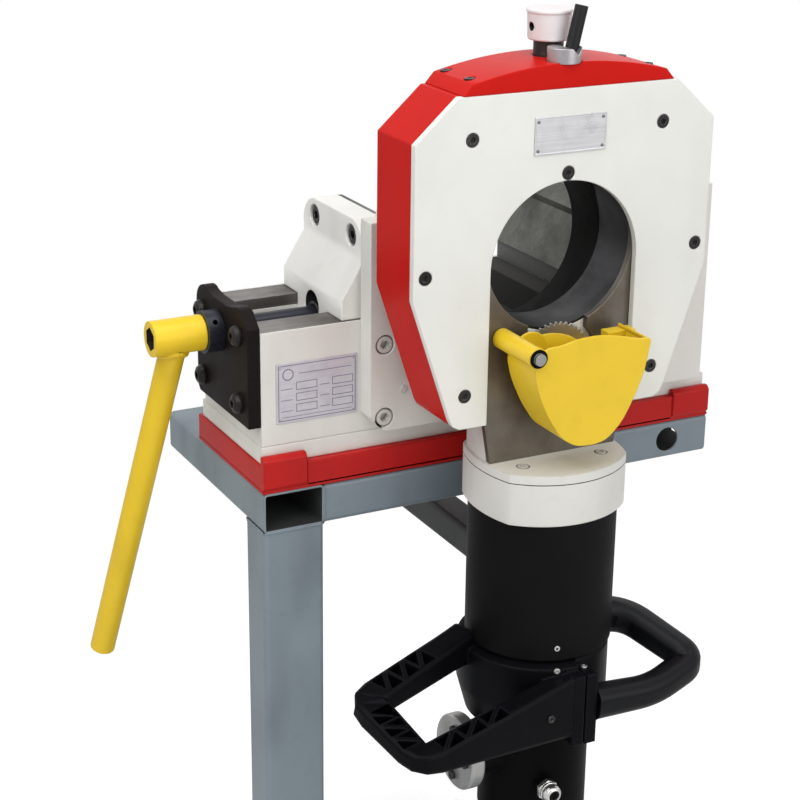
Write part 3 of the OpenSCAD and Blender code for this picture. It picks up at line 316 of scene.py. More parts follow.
# Tray: thin sheet on the rails and the red base with its raised corners,
# pressed and welded steel with bright red enamel that is dull in the fold.
tray_red = enamel("tray_red", rgb(188, 26, 24), rgb(104, 34, 30), 0.36, wear=0.4,
                  grime=(72, 18, 16), dirt=0.22, specks=0.1, shine=0.2, peel=0.05)
dress(tray_red, "red_base", "top_sheet")
eased(1.5, "red_base")

# Vise: cast iron slab, body and jaws, filled, rubbed down and sprayed warm white, with
# the upright plate that carries the ring bearing of the head. The trough between the
# jaws, the toe of the fixed jaw and the recess for the screw are painted dark, as painted shade deep inside
# the vise.
under_white, dusty_white = rgb(150, 146, 136), (150, 146, 134)
vise_white = enamel("vise_white", rgb(226, 225, 219), under_white, 0.36, wear=0.5,
                    grime=dusty_white, dirt=0.22)
# The moving jaw gets a lighter copy of the white: painted light on its slope, which faces the lamps.
lit_jaw_white = enamel("lit_jaw_white", rgb(243, 242, 237), under_white, 0.36, wear=0.5,
                   grime=dusty_white, dirt=0.18)
trough_low, trough_high = at(-87, 139.5, -198), at(88.4, 286.5, -75.8)
toe_low, toe_high = at(86.5, 139.5, -75.8), at(89.5, 286.5, -40)
recess_low, recess_high = at(-180.4, 195, -110), at(-140, 231, -62)
# Painted shade: the trough, the toe of the fixed jaw and the screw recess are darkened where they lie deep in
# shadow.
darkened(vise_white, within(vise_white, trough_low, trough_high), rgb(52, 51, 49))
darkened(vise_white, within(vise_white, toe_low, toe_high), rgb(108, 110, 105), 0.5)
darkened(lit_jaw_white, within(lit_jaw_white, recess_low, recess_high), rgb(40, 39, 38))
dress(vise_white, "base_slab", "vise_body", "vise_plate", "fixed_jaw")
dress(lit_jaw_white, "moving_jaw")
eased(1.0, "vise_body", "vise_plate", "moving_jaw")
eased(1.2, "base_slab")
eased(1.5, "fixed_jaw")


# Way bars: two hardened strips let into the top of the vise body, ground along
# their length and dark from cutting oil, on which the jaw slides.
def ground_steel(name, colour, stain, stretch, rough, streak=0.2):
    made, tree, shader, where = blank(name, Metallic=0.9)
    lines = cloud(tree, where, 1.0, 4.0, stretch)
    patch, fine = cloud(tree, where, 16.0, 5.0), cloud(tree, where, 150.0, 4.0)
    tone = mixed(tree, spread(tree, lines, 0.3, 0.7), shade(colour, 1 - streak), shade(colour, 1 + streak))
    tone = mixed(tree, times(tree, spread(tree, patch, 0.42, 0.7), 0.75), tone, stain)
    rounded, edge = edge_band(tree, 1.0)
    bare = times(tree, edge, times(tree, spread(tree, fine, 0.35, 0.6), 0.7))
    join(tree, shader.inputs["Base Color"], mixed(tree, bare, tone, shade(colour, 2.0)))
    join(tree, shader.inputs["Roughness"], spread(tree, patch, 0.3, 0.7, rough - 0.08, rough + 0.14))
    skinned(tree, shader, 0.12, 0.2, lines, rounded)
    return made


along_x = (6, 420, 420)
way_steel = ground_steel("way_steel", rgb(128, 124, 121), rgb(82, 76, 72), along_x, 0.42)
dress(way_steel, "way_bars")

# Vise plate screws: socket screws painted over with the plate,
# so only their keys and rims show bare metal.
screw_white = enamel("screw_white", rgb(214, 213, 208), rgb(120, 116, 108), 0.4, wear=0.9,
                     grime=(96, 90, 80), dirt=0.4)
dress(screw_white, "vise_plate_screws")


# Dowel: ground pin that sets the upright plate on the vise body, pressed in
# flush and painted over, with its domed end just showing.
def turned_shape(outline, steps=32):
    shape = bmesh.new()
    line = [shape.verts.new((radius * mm, 0, height * mm)) for radius, height in outline]
    links = [shape.edges.new(pair) for pair in zip(line, line[1:])]
    bmesh.ops.spin(shape, geom=line + links, cent=(0, 0, 0), axis=(0, 0, 1), angle=math.tau, steps=steps,
                   use_merge=True)
    bmesh.ops.remove_doubles(shape, verts=shape.verts, dist=0.001 * mm)
    bmesh.ops.recalc_face_normals(shape, faces=shape.faces)
    return shape


def facing(direction, place):
    turn = Vector((0, 0, 1)).rotation_difference(Vector(direction)).to_matrix().to_4x4()
    return Matrix.Translation(place) @ turn


def repeated(shape, places):
    whole, single = bmesh.new(), bpy.data.meshes.new("single")
    for place in places:
        copy = shape.copy()
        bmesh.ops.transform(copy, matrix=place, verts=copy.verts)
        copy.to_mesh(single)
        copy.free()
        whole.from_mesh(single)
    shape.free()
    bpy.data.meshes.remove(single)
    return whole


to_front = (0, -1, 0)
dowel = turned_shape([(0, -4), (4.6, -4), (4.6, 0.2), (4.2, 0.7), (2.4, 1.1), (0, 1.2)])
dowel_places = [facing(to_front, at(-122.5, 110, -149.5))]
fit("vise_dowel", repeated(dowel, dowel_places), screw_white, "stand")


# Data plate: thin satin aluminium sheet on the vise body, riveted at its corners,
# printed with an empty ruled form: a frame, a ring, rules and six blank boxes.
def satin_sheet(name, colour, stretch, rough=0.34):
    made, tree, shader, where = blank(name, Metallic=0.75)
    lines, patch = cloud(tree, where, 1.0, 3.0, stretch), cloud(tree, where, 45.0, 4.0)
    tone = mixed(tree, spread(tree, lines, 0.3, 0.7), shade(colour, 0.9), shade(colour, 1.08))
    tone = mixed(tree, times(tree, spread(tree, patch, 0.5, 0.75), 0.3), tone, shade(colour, 0.62))
    rounded, edge = edge_band(tree, 0.5)
    # The rims go darker: painted shade along the sheet's edges.
    join(tree, shader.inputs["Base Color"], mixed(tree, times(tree, edge, 0.5), tone, shade(colour, 0.45)))
    join(tree, shader.inputs["Roughness"], spread(tree, patch, 0.3, 0.7, rough - 0.06, rough + 0.12))
    skinned(tree, shader, 0.08, 0.1, lines, rounded)
    return made


def softened(shape, edges, radius, segments=2):
    bmesh.ops.bevel(shape, geom=edges, offset=radius * mm, affect="EDGES", segments=segments, profile=0.5,
                    material=-1)


def thickened(shape, way):
    raised = bmesh.ops.extrude_face_region(shape, geom=shape.faces[:])["geom"]
    moved = [part for part in raised if isinstance(part, bmesh.types.BMVert)]
    bmesh.ops.translate(shape, vec=way, verts=moved)


def sheet_block(wide, tall, thick):
    shape = bmesh.new()
    bmesh.ops.create_cube(shape, size=1.0, matrix=Matrix.Diagonal((wide * mm, thick * mm, tall * mm, 1)))
    corners = [e for e in shape.edges if abs(e.verts[0].co.y - e.verts[1].co.y) > 0.001 * mm]
    return shape, corners


def front_of(shape):
    return min(shape.faces, key=lambda face: face.calc_center_median().y)


def ruled_frame(shape, left, low, right, high, line=None):
    made = bmesh.ops.create_grid(shape, x_segments=1, y_segments=1, size=0.5)
    middle = Vector(((left + right) / 2 * mm, 0, (low + high) / 2 * mm))
    size = Matrix.Diagonal(((right - left) * mm, (high - low) * mm, 1, 1))
    place = Matrix.Translation(middle) @ upright @ size
    bmesh.ops.transform(shape, matrix=place, verts=made["verts"])
    if line:
        face = made["verts"][0].link_faces[0]
        bmesh.ops.inset_region(shape, faces=[face], thickness=line * mm, use_boundary=True,
                               use_even_offset=True)
        bmesh.ops.delete(shape, geom=[face], context="FACES")


upright = Matrix.Rotation(math.pi / 2, 4, "X")
data_wide, data_tall, data_thick, data_corner = 93.0, 65.6, 0.9, 1.2
data_mid = at(-211.65, 134, -143.15)
data_sheet = satin_sheet("data_sheet", rgb(203, 199, 206), (30, 30, 900), 0.4)
plate, corners = sheet_block(data_wide, data_tall, data_thick)
softened(plate, corners, data_corner, 4)
softened(plate, list(front_of(plate).edges), data_thick * 0.3)
bmesh.ops.translate(plate, vec=data_mid - Vector((0, data_thick / 2 * mm, 0)), verts=plate.verts)
fit("data_plate", plate, data_sheet, "stand", 15)

print_ink, ink_tree, ink_shader, ink_where = blank("print_ink", Roughness=0.55)
ink_tone = mixed(ink_tree, cloud(ink_tree, ink_where, 260.0, 3.0), rgb(98, 92, 120), rgb(138, 132, 156))
join(ink_tree, ink_shader.inputs["Base Color"], ink_tone)
ink_thick, ink_sunk = 0.12, 0.04
box_wide, box_half, box_line = 24, 4.4, 0.8
label_low, label_high = -2.6, -1.8
form = bmesh.new()
ruled_frame(form, -44, -30.3, 44, 30.3, 0.9)
for row in (6.5, -5.5, -17.5):
    for box, label, label_end in ((-24, -41, -28), (17, 3, 14)):
        ruled_frame(form, box, row - box_half, box + box_wide, row + box_half, box_line)
        ruled_frame(form, label, row + label_low, label_end, row + label_high)
ruled_frame(form, -21, 19.6, 39, 20.4)
ruled_frame(form, -40, -26.6, 40, -26.0)
round_place = Matrix.Translation((-33 * mm, 0, 20 * mm)) @ upright
mark = bmesh.ops.create_circle(form, segments=32, radius=6.4 * mm, cap_ends=True, matrix=round_place)
mark_face = mark["verts"][0].link_faces[0]
bmesh.ops.inset_region(form, faces=[mark_face], thickness=1.2 * mm, use_boundary=True)
bmesh.ops.delete(form, geom=[mark_face], context="FACES")
thickened(form, (0, -ink_thick * mm, 0))
bmesh.ops.translate(form, vec=data_mid - Vector((0, (data_thick - ink_sunk) * mm, 0)), verts=form.verts)
bmesh.ops.recalc_face_normals(form, faces=form.faces)
fit("data_plate_form", form, print_ink, "stand", 20)

no_grain = (300, 300, 300)
rivet = turned_shape([(0, -0.6), (1.5, -0.6), (1.5, 0.2), (1.25, 0.7), (0.7, 0.95), (0, 1.0)], 20)
rivet_metal = satin_sheet("rivet_metal", rgb(176, 174, 170), no_grain)
rivet_spots = [Vector((x, -data_thick, z)) * mm for x in (-42, 42) for z in (-28.4, 28.4)]
rivet_places = [facing(to_front, data_mid + spot) for spot in rivet_spots]
fit("data_plate_rivets", repeated(rivet, rivet_places), rivet_metal, "stand")


# End plate: thick plate with cut corners that carries the screw of the jaw,
# sawn from hot rolled steel, blackened and held by black button screws.
def blackened(name, colour, rub_and_glint, rough, metal=0.35, shine=0.3):
    made, tree, shader, where = blank(name, Metallic=metal, Specular_IOR_Level=shine)
    patch, fine = cloud(tree, where, 14.0, 5.0), cloud(tree, where, 190.0, 4.0)
    tone = mixed(tree, spread(tree, patch, 0.3, 0.7), shade(colour, 0.75), shade(colour, 1.35))
    tone = mixed(tree, times(tree, spread(tree, fine, 0.6, 0.8), 0.3), tone, rub_and_glint)
    rounded, edge = edge_band(tree, 1.0)
    tone = mixed(tree, times(tree, edge, spread(tree, fine, 0.35, 0.6, 0.1, 0.75)), tone, rub_and_glint)
    join(tree, shader.inputs["Base Color"], tone)
    join(tree, shader.inputs["Roughness"], spread(tree, patch, 0.3, 0.7, rough - 0.08, rough + 0.12))
    skinned(tree, shader, 0.2, 0.3, fine, rounded)
    return made


plate_black = blackened("plate_black", rgb(24, 19, 18), rgb(72, 61, 56), 0.46, metal=0.1, shine=0.07)
button_black = blackened("button_black", rgb(36, 33, 32), rgb(112, 106, 102), 0.36, metal=0.5)
dress(plate_black, "end_plate")
eased(1.0, "end_plate")
dress(button_black, "end_plate_screws")

# Jaw inserts: hardened plates that grip the pipe, let into the faces of the cast
# jaws, the moving one held by black socket screws through its jaw.
along_z = (420, 420, 12)
# The inserts' steel is painted a dark grey, painted shade for where they sit deep in the vise.
shaded_insert_steel = ground_steel("shaded_insert_steel", rgb(99, 100, 94), rgb(62, 61, 58), along_z, 0.4)
# The screw heads' rims are lighter: a painted highlight along their edges, over light wear.
screw_black = blackened("screw_black", rgb(50, 49, 48), rgb(150, 148, 146), 0.34, metal=0.7)
dress(shaded_insert_steel, "fixed_insert", "moving_insert")
dress(screw_black, "jaw_screws")


# Jaw nut: round bronze nut in the moving jaw, cast, turned and bored for the
# vise screw, and dull with old grease.
def bearing_bronze(name):
    made, tree, shader, where = blank(name, Metallic=0.9)
    patch, fine = cloud(tree, where, 40.0, 4.0), cloud(tree, where, 300.0, 3.0)
    tone = mixed(tree, spread(tree, patch, 0.3, 0.7), rgb(164, 122, 66), rgb(112, 80, 44))
    join(tree, shader.inputs["Base Color"], tone)
    join(tree, shader.inputs["Roughness"], spread(tree, fine, 0.3, 0.7, 0.3, 0.5))
    skinned(tree, shader, 0.1, 0.2, fine)
    return made


bronze = bearing_bronze("bronze")
dress(bronze, "jaw_nut", "arbor_bushes")

# Vise screw: turned steel spindle, blackened, with a collar pinned to it outside
# the end plate that takes the thrust, and a black wiper bush where it enters the jaw.
screw_y, screw_z, to_left = 213, -92, (-1, 0, 0)
spindle_black = blackened("spindle_black", rgb(40, 42, 50), rgb(110, 112, 120), 0.28)
dress(spindle_black, "spindle", "spindle_collar")
bush = turned_shape([(12.8, 0), (12.8, 8.4), (13.6, 9.4), (15.4, 9.8), (16.6, 9.0), (16.6, 0), (12.8, 0)], 40)
bush_places = [facing(to_left, at(-170, screw_y, screw_z))]
fit("jaw_bush", repeated(bush, bush_places), screw_black, "jaw", 40)

# Crank: forged hub with a socket for the spindle, painted near black inside as painted shade, and a round bar
# arm, joined by a thick weld all round and sprayed yellow, rubbed bare where the hand turns it.
socket_half = 13.2
crank_yellow = enamel("crank_yellow", rgb(241, 203, 24), rgb(150, 118, 40), 0.36, wear=0.5,
                      grime=(150, 116, 24), dirt=0.22)
socket_low = at(-363.6, screw_y - socket_half, screw_z - socket_half)
socket_high = at(-320, screw_y + socket_half, screw_z + socket_half)
# Painted shade: the inside of the socket is darkened.
darkened(crank_yellow, within(crank_yellow, socket_low, socket_high), rgb(26, 23, 21))
dress(crank_yellow, "crank")
eased(1.0, "crank")

hub_mid, hub_round, arm_round = at(-335.5, screw_y, screw_z), 19.0 * mm, 14.0 * mm
arm_down = Vector((-0.1392, 0.2730, -0.9519))
arm_side = arm_down.cross(Vector((1, 0, 0))).normalized()
arm_other = arm_down.cross(arm_side)
bead_steps, bead_proud, bead_thick, bead_wide = 66, 0.6 * mm, 3.4 * mm, 4.2 * mm
saddle = []
for step in range(bead_steps):
    turn = step * math.tau / bead_steps
    off = (arm_side * math.cos(turn) + arm_other * math.sin(turn)) * arm_round
    square = arm_down.y ** 2 + arm_down.z ** 2
    half = off.y * arm_down.y + off.z * arm_down.z
    reach = (-half + math.sqrt(half ** 2 - square * (off.y ** 2 + off.z ** 2 - hub_round ** 2))) / square
    saddle.append(hub_mid + off + arm_down * (reach + bead_proud))
crank_weld, rings = bmesh.new(), []
for step, point in enumerate(saddle):
    tangent = (saddle[(step + 1) % bead_steps] - saddle[step - 1]).normalized()
    outward = (point - hub_mid - arm_down * (point - hub_mid).dot(arm_down)).normalized()
    sideways, swell = tangent.cross(outward).normalized(), 1 + 0.08 * math.sin(2.4 * step)
    section = (sideways * bead_wide * swell, outward * bead_thick * swell, tangent)
    placed = Matrix.Translation(point) @ Matrix(section).transposed().to_4x4()
    rings.append(ring_of(crank_weld, 12, 1.0, placed))
bridged(crank_weld, rings + rings[:1])
bmesh.ops.recalc_face_normals(crank_weld, faces=crank_weld.faces)
fit("crank_weld", crank_weld, crank_yellow, "crank_set", 60)


# Cutting head: welded steel housing sprayed red outside and dark grey in its bore, where bare steel gets
# painted shade, with a flat front plate in white, held by black socket screws in counterbores.
def off_axis(material, place, keep):
    tree = material.node_tree
    away = put_pair(tree, "VectorMath", "SUBTRACT", place_in(tree), place)
    flat = put_pair(tree, "VectorMath", "MULTIPLY", away.outputs[0], keep)
    length = put(tree, "VectorMath", operation="LENGTH")
    join(tree, length.inputs[0], flat.outputs[0])
    return length.outputs["Value"]


def near_axis(material, place, keep, radius):
    return result_of(material.node_tree, "LESS_THAN", off_axis(material, place, keep), radius * mm)


from_y_axis, bare_and_shaded_bore = (1, 0, 1), 122.5
head_red = enamel("head_red", rgb(199, 28, 22), rgb(118, 34, 30), 0.3, wear=0.35,
                  grime=(96, 18, 16), dirt=0.12, specks=0.1, shine=0.05, peel=0.05)
# Painted shade: the housing's bore is darkened to a dark grey.
darkened(head_red, near_axis(head_red, at(0, 0, 0), from_y_axis, bare_and_shaded_bore), rgb(48, 46, 45))
head_white = enamel("head_white", rgb(230, 230, 225), rgb(176, 172, 162), 0.34, wear=0.35,
                    grime=(176, 172, 160), dirt=0.14)
dress(head_red, "housing", "lid")
dress(head_white, "front_plate")
eased(1.2, "housing")
eased(1.0, "lid")
eased(0.8, "front_plate")
dress(screw_black, "front_plate_screws", "lid_screws")

# Nameplate: bare brushed aluminium sheet on the front plate, with a pressed
# border, held by four small drive pins.
name_wide, name_tall, name_thick = 82.0, 37.5, 1.2
name_sheet = satin_sheet("name_sheet", rgb(206, 206, 208), (14, 14, 700), 0.3)
plate, rim = sheet_block(name_wide, name_tall, name_thick)
front = front_of(plate)
rim = list(front.edges) + rim
bmesh.ops.inset_region(plate, faces=[front], thickness=1.5 * mm, use_even_offset=True)
bmesh.ops.inset_region(plate, faces=[front], thickness=0.3 * mm, depth=-0.2 * mm, use_even_offset=True)
softened(plate, rim, 0.3)
bmesh.ops.translate(plate, vec=at(0, -name_thick / 2, 132.25), verts=plate.verts)
fit("nameplate", plate, name_sheet, "head", 15)
pin = turned_shape([(0, -0.6), (1.7, -0.6), (1.7, 0.15), (1.4, 0.8), (0.8, 1.1), (0, 1.2)], 20)
pin_places = [facing(to_front, at(x, -0.95, z)) for x in (-36.8, 36.8) for z in (118.0, 146.5)]
pin_metal = satin_sheet("pin_metal", rgb(120, 120, 122), no_grain)
fit("nameplate_pins", repeated(pin, pin_places), pin_metal, "head")


# Ring bearing: hub and retaining ring turned from steel bar and oily, painted near black as the shade deep
# behind the bore, bolted behind the housing so that they run in the vise plate.
def lathe_steel(name, colour, stain, axis, place, rough, metal=0.92, shine=0.5):
    made, tree, shader, where = blank(name, Metallic=metal, Specular_IOR_Level=shine)
    centred = put(tree, "Mapping", Vector=where, Location=-place).outputs[0]
    rings = put(tree, "TexWave", Vector=centred, wave_type="RINGS", rings_direction=axis, Scale=260.0,
                Distortion=1.2, Detail=2.0).outputs[1]
    patch = cloud(tree, where, 22.0, 5.0)
    tone = mixed(tree, rings, shade(colour, 0.9), shade(colour, 1.1))
    tone = mixed(tree, times(tree, spread(tree, patch, 0.45, 0.7), 0.6), tone, stain)
    rounded, edge = edge_band(tree, 0.8)
    join(tree, shader.inputs["Base Color"], mixed(tree, times(tree, edge, 0.4), tone, shade(colour, 1.5)))
    join(tree, shader.inputs["Roughness"], spread(tree, patch, 0.3, 0.7, rough - 0.06, rough + 0.14))
    skinned(tree, shader, 0.06, 0.1, rings, rounded)
    return made


shaded_ring_steel = lathe_steel("shaded_ring_steel", rgb(17, 17, 16), rgb(9, 9, 8), "Y", at(0, 0, 0), 0.6, metal=0.2,
                         shine=0.1)
dress(shaded_ring_steel, "ring_hub", "retaining_ring")

# Feed dial: black collar on the lid and a white moulded knob with a drilled side, on
# the screw that lifts the saw slide into the pipe.
dial_y, hole_depth, from_z_axis = 47, 20.9, (1, 1, 0)
knob_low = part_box("dial_knob")[0][2]
knob_white = enamel("knob_white", rgb(231, 225, 225), rgb(196, 188, 186), 0.42, wear=0.3,
                    grime=(150, 128, 122), dirt=0.2)
# Painted shade: inside the drilled hole the white is darkened to near black.
hole_low, hole_high = at(-30, dial_y - 17, 0), at(0, dial_y + 17, 0)
hole_low[2], hole_high[2] = knob_low + 8 * mm, knob_low + 19 * mm
knob_hole_shade = times(knob_white.node_tree, near_axis(knob_white, at(0, dial_y, 0), from_z_axis, hole_depth),
                  within(knob_white, hole_low, hole_high))
darkened(knob_white, knob_hole_shade, rgb(20, 19, 19))
dress(screw_black, "dial_collar")
dress(knob_white, "dial_knob")
feed_steel = lathe_steel("feed_steel", rgb(150, 148, 145), rgb(92, 88, 82), "Z", at(0, dial_y, 0), 0.34)
dress(feed_steel, "feed_screw")

# Slide clamp: bright turned hub with a notch, and a leaning lever in it that is
# dipped in black plastic.
clamp_bright = lathe_steel("clamp_bright", rgb(190, 186, 190), rgb(126, 122, 126), "Z", at(-2.4, 13, 0), 0.3)
lever_black = blackened("lever_black", rgb(27, 27, 29), rgb(64, 64, 66), 0.4)
dress(clamp_bright, "clamp_hub")
dress(lever_black, "clamp_lever")
eased(0.5, "clamp_hub", "clamp_lever")

# Saw slide: cast body that runs up and down in the housing, with a ground face plate
# and a honed sleeve in its bore for the pipe, painted dark grey as the shade inside the bore. The joint with
# the gear case below holds dirt, and the rims of the sunk flange screws are darkened as painted shade in
# their counterbores.
flange_spots = [(-47, -11), (47, -11), (-46, 81), (46, 81)]
sunk_round, fine_along_z = 7.2, (700, 700, 40)
slide_white = enamel("slide_white", rgb(220, 219, 213), rgb(150, 146, 138), 0.38, wear=0.5,
                     grime=(152, 148, 138), dirt=0.22)
face_steel = ground_steel("face_steel", rgb(116, 110, 102), rgb(84, 76, 67), fine_along_z, 0.38, streak=0.06)
shaded_bore_steel = lathe_steel("shaded_bore_steel", rgb(64, 64, 66), rgb(28, 28, 29), "Y", at(0, 0, 15), 0.36)
# The seam is a dirty joint; the rings round the sunk screws are painted shade.
seam = within(slide_white, at(-110, -80, -216.6), at(110, 130, -215.5))
flange_top = within(slide_white, at(-110, -80, -206.6), at(110, 130, -204))
sunk_rim_shade = [near_axis(slide_white, at(x, y, 0), from_z_axis, sunk_round) for x, y in flange_spots]
slide_tree = slide_white.node_tree
dirt_and_shade = most(slide_tree, seam, times(slide_tree, flange_top, most(slide_tree, *sunk_rim_shade)))
darkened(slide_white, dirt_and_shade, rgb(66, 62, 57))
dress(slide_white, "slide_body")
dress(face_steel, "slide_face")
eased(0.5, "slide_face")
dress(shaded_bore_steel, "bore_sleeve")

# Blade guard: bent yellow sheet with a curved ear at the back, that swings on a
# bright hinge pin and rests on a stop, with a black spring clip on the pin's end.
guard_yellow = enamel("guard_yellow", rgb(236, 199, 38), rgb(176, 140, 44), 0.33, wear=0.4,
                      grime=(150, 112, 26), dirt=0.2)
dress(guard_yellow, "blade_guard")
eased(0.6, "blade_guard")
ear_y, ear_thick = -9.8, 2.6
ear_line = [(-52, -76), (-47, -71.6), (-38, -68.8), (-28.6, -67.6), (-18.5, -67.4), (-6.3, -69.6),
            (3.4, -73.0), (11.0, -77.4), (14.6, -81.5), (14, -90), (4, -97), (-16, -101), (-40, -98),
            (-53, -86)]
ear = bmesh.new()
ear.faces.new([ear.verts.new(at(x, ear_y, z)) for x, z in ear_line])
thickened(ear, (0, ear_thick * mm, 0))
bmesh.ops.recalc_face_normals(ear, faces=ear.faces)
softened(ear, [e for e in ear.edges if abs(e.verts[0].co.y - e.verts[1].co.y) < 0.001 * mm], 0.6)
fit("guard_ear", ear, guard_yellow, "guard", 30)
hinge, pin_round = at(-66, 0, -71), 6.2
pin_bright, pin_clipped = (lathe_steel(name, rgb(168, 166, 162), rgb(98, 94, 88), "Y", hinge, 0.32)
                           for name in ("pin_bright", "pin_clipped"))
clip_reach = off_axis(pin_clipped, hinge, from_y_axis)
clip = result_of(pin_clipped.node_tree, "GREATER_THAN", clip_reach, pin_round * mm)
darkened(pin_clipped, clip, rgb(26, 25, 25))
dress(pin_bright, "guard_stop")
dress(pin_clipped, "guard_pin")

# Saw: toothed blade on its arbor, clamped by a washer and a cap screw and driven by
# a bevel gear, all of bright ground steel.
blade_steel = lathe_steel("blade_steel", rgb(186, 186, 184), rgb(120, 118, 114), "Y", at(0, 0, -109), 0.28)
gear_steel = lathe_steel("gear_steel", rgb(140, 136, 130), rgb(84, 78, 68), "Z", at(0, 45, 0), 0.34)
dress(blade_steel, "saw_blade", "arbor", "blade_clamp")
dress(gear_steel, "bevel_gear", "drive_shaft", "drive_gear")

# Gear case: cast case under the slide, filled and sprayed white, with the flange
# screws sunk in the paint at its four corners.
dress(slide_white, "gear_case")
eased(1.0, "gear_case")


def drawn_down(shape, edges, depth):
    made = bmesh.ops.extrude_edge_only(shape, edges=edges)["geom"]
    lowered = [part for part in made if isinstance(part, bmesh.types.BMVert)]
    bmesh.ops.translate(shape, vec=(0, 0, -depth * mm), verts=lowered)


def socket_screw(head, tall, key, deep):
    shape = bmesh.new()
    rim_edges = ring_of(shape, 24, head * mm, Matrix())
    bmesh.ops.subdivide_edges(shape, edges=ring_of(shape, 6, key * mm, Matrix()), cuts=3)
    key_edges = [e for e in shape.edges if e not in rim_edges]
    bmesh.ops.bridge_loops(shape, edges=rim_edges + key_edges)
    drawn_down(shape, rim_edges, tall)
    drawn_down(shape, key_edges, deep)
    bmesh.ops.holes_fill(shape, edges=[e for e in shape.edges if e.is_boundary], sides=0)
    softened(shape, rim_edges, head * 0.12)
    bmesh.ops.recalc_face_normals(shape, faces=shape.faces)
    return shape


flange_steel = enamel("flange_steel", rgb(196, 194, 187), rgb(84, 80, 74), 0.4, wear=0.9,
                      grime=(60, 56, 50), dirt=0.5)
to_top = (0, 0, 1)
flange_places = [facing(to_top, at(x, y, -205.2)) for x, y in flange_spots]
flange_screw = socket_screw(6.0, 3.0, 2.9, 1.6)
fit("flange_screws", repeated(flange_screw, flange_places), flange_steel, "slide")


# Motor: die cast housing and tail of the power unit, powder coated matt black, with
# the rotor and its shaft inside and a moulded rocker switch at the back.
def powder_black(name, colour, rub_and_glint, rough, grain, shine=0.06, rub_and_glint_reach=1.4):
    made, tree, shader, where = blank(name, Specular_IOR_Level=shine)
    patch, fine = cloud(tree, where, 9.0, 4.0), cloud(tree, where, grain, 2.0)
    tone = mixed(tree, spread(tree, patch, 0.3, 0.7), shade(colour, 0.8), shade(colour, 1.3))
    rounded, edge = edge_band(tree, rub_and_glint_reach)
    tone = mixed(tree, times(tree, edge, spread(tree, fine, 0.4, 0.7, 0.05, 0.5)), tone, rub_and_glint)
    join(tree, shader.inputs["Base Color"], tone)
    join(tree, shader.inputs["Roughness"], spread(tree, patch, 0.3, 0.7, rough - 0.05, rough + 0.1))
    skinned(tree, shader, 0.25, 0.4, fine, rounded)
    return made


motor_black = powder_black("motor_black", rgb(15, 15, 15), rgb(46, 46, 46), 0.46, 420.0)
tail_black = powder_black("tail_black", rgb(12, 12, 13), rgb(40, 40, 42), 0.4, 600.0, shine=0.03)
rocker_black = powder_black("rocker_black", rgb(36, 36, 38), rgb(96, 96, 100), 0.3, 900.0, shine=0.35)
dress(motor_black, "motor_housing")
dress(tail_black, "motor_tail")
dress(rocker_black, "rocker")
dress(gear_steel, "motor_shaft", "armature")
bright_screw = lathe_steel("bright_screw", rgb(196, 195, 192), rgb(130, 128, 124), "Y",
                           at(-22, 0, -401), 0.26)
motor_places = [facing((-0.24, -0.97, 0), at(-21.9, -51.6, -401.5))]
motor_screw = socket_screw(3.2, 2.4, 1.5, 1.2)
fit("motor_screw", repeated(motor_screw, motor_places), bright_screw, "slide")

# Side cap: turned aluminium cover over the brush gear at the side of the tail,
# with four black socket screws.
cap_face, cap_y, cap_z, bolt_round = -104.2, 25, -545, 27.7
cap_aluminium = lathe_steel("cap_aluminium", rgb(178, 177, 175), rgb(122, 120, 117), "X",
                            at(0, cap_y, cap_z), 0.36, metal=0.85)
dress(cap_aluminium, "side_cap")
eased(0.8, "side_cap")
bolt_spots = [(bolt_round, 0), (-bolt_round, 0), (0, bolt_round), (0, -bolt_round)]
cap_places = [facing(to_left, at(cap_face, cap_y + y, cap_z + z)) for y, z in bolt_spots]
cap_screw = socket_screw(5.0, 4.4, 2.4, 2.4)
fit("side_cap_screws", repeated(cap_screw, cap_places), screw_black, "slide")

# Cable gland: nickel plated brass nut and dome on the boss of the tail, with a
# dark rubber seal in its mouth.
gland_places = [facing(to_front, at(-22, -40, -575))]
gland_metal = lathe_steel("gland_metal", rgb(206, 205, 202), rgb(140, 137, 132), "Y", at(-22, 0, -575), 0.22)
nut_round, nut_tall = 12.5, 6
nut = bmesh.new()
bmesh.ops.create_circle(nut, segments=6, radius=nut_round * mm, cap_ends=True)
thickened(nut, (0, 0, nut_tall * mm))
softened(nut, nut.edges[:], 0.8)
bmesh.ops.recalc_face_normals(nut, faces=nut.faces)
fit("gland_nut", repeated(nut, gland_places), gland_metal, "slide")
dome = turned_shape([(0, 5.5), (10.4, 5.5), (10.8, 6.2), (10.8, 8.6), (9.6, 9.2), (9.6, 9.8),
                     (10.6, 10.4), (10.6, 13.0), (9.8, 16.6), (8.2, 18.6), (6.6, 19.2), (6.2, 18.8),
                     (6.0, 15.5), (0, 15.5)], 40)
fit("gland_dome", repeated(dome, gland_places), gland_metal, "slide")
seal_rubber = powder_black("seal_rubber", rgb(20, 20, 20), rgb(40, 40, 40), 0.6, 800.0)
seal = turned_shape([(0, 15.2), (6.1, 15.2), (6.1, 17.2), (5.4, 18.0), (3.6, 18.2), (3.2, 17.4), (3.0, 15.9),
                     (0, 15.9)])
fit("gland_seal", repeated(seal, gland_places), seal_rubber, "slide")

# Handles: two glass filled nylon loops, the left one moulded with ribs and the right
# one with a smooth skin, clamped round the motor by screws in the split block. Their edges carry a wide
# painted bluish glint.
handle_black = powder_black("handle_black", rgb(12, 12, 15), rgb(60, 62, 72), 0.34, 700.0,
                            shine=0.05, rub_and_glint_reach=3.5)
grip_black = powder_black("grip_black", rgb(10, 11, 15), rgb(60, 66, 80), 0.34, 700.0,
                          shine=0.16, rub_and_glint_reach=3.5)
dress(handle_black, "left_handle", "right_handle")
eased(0.6, "left_handle", limit=20)
eased(1.5, "right_handle", limit=12, clamp=True)

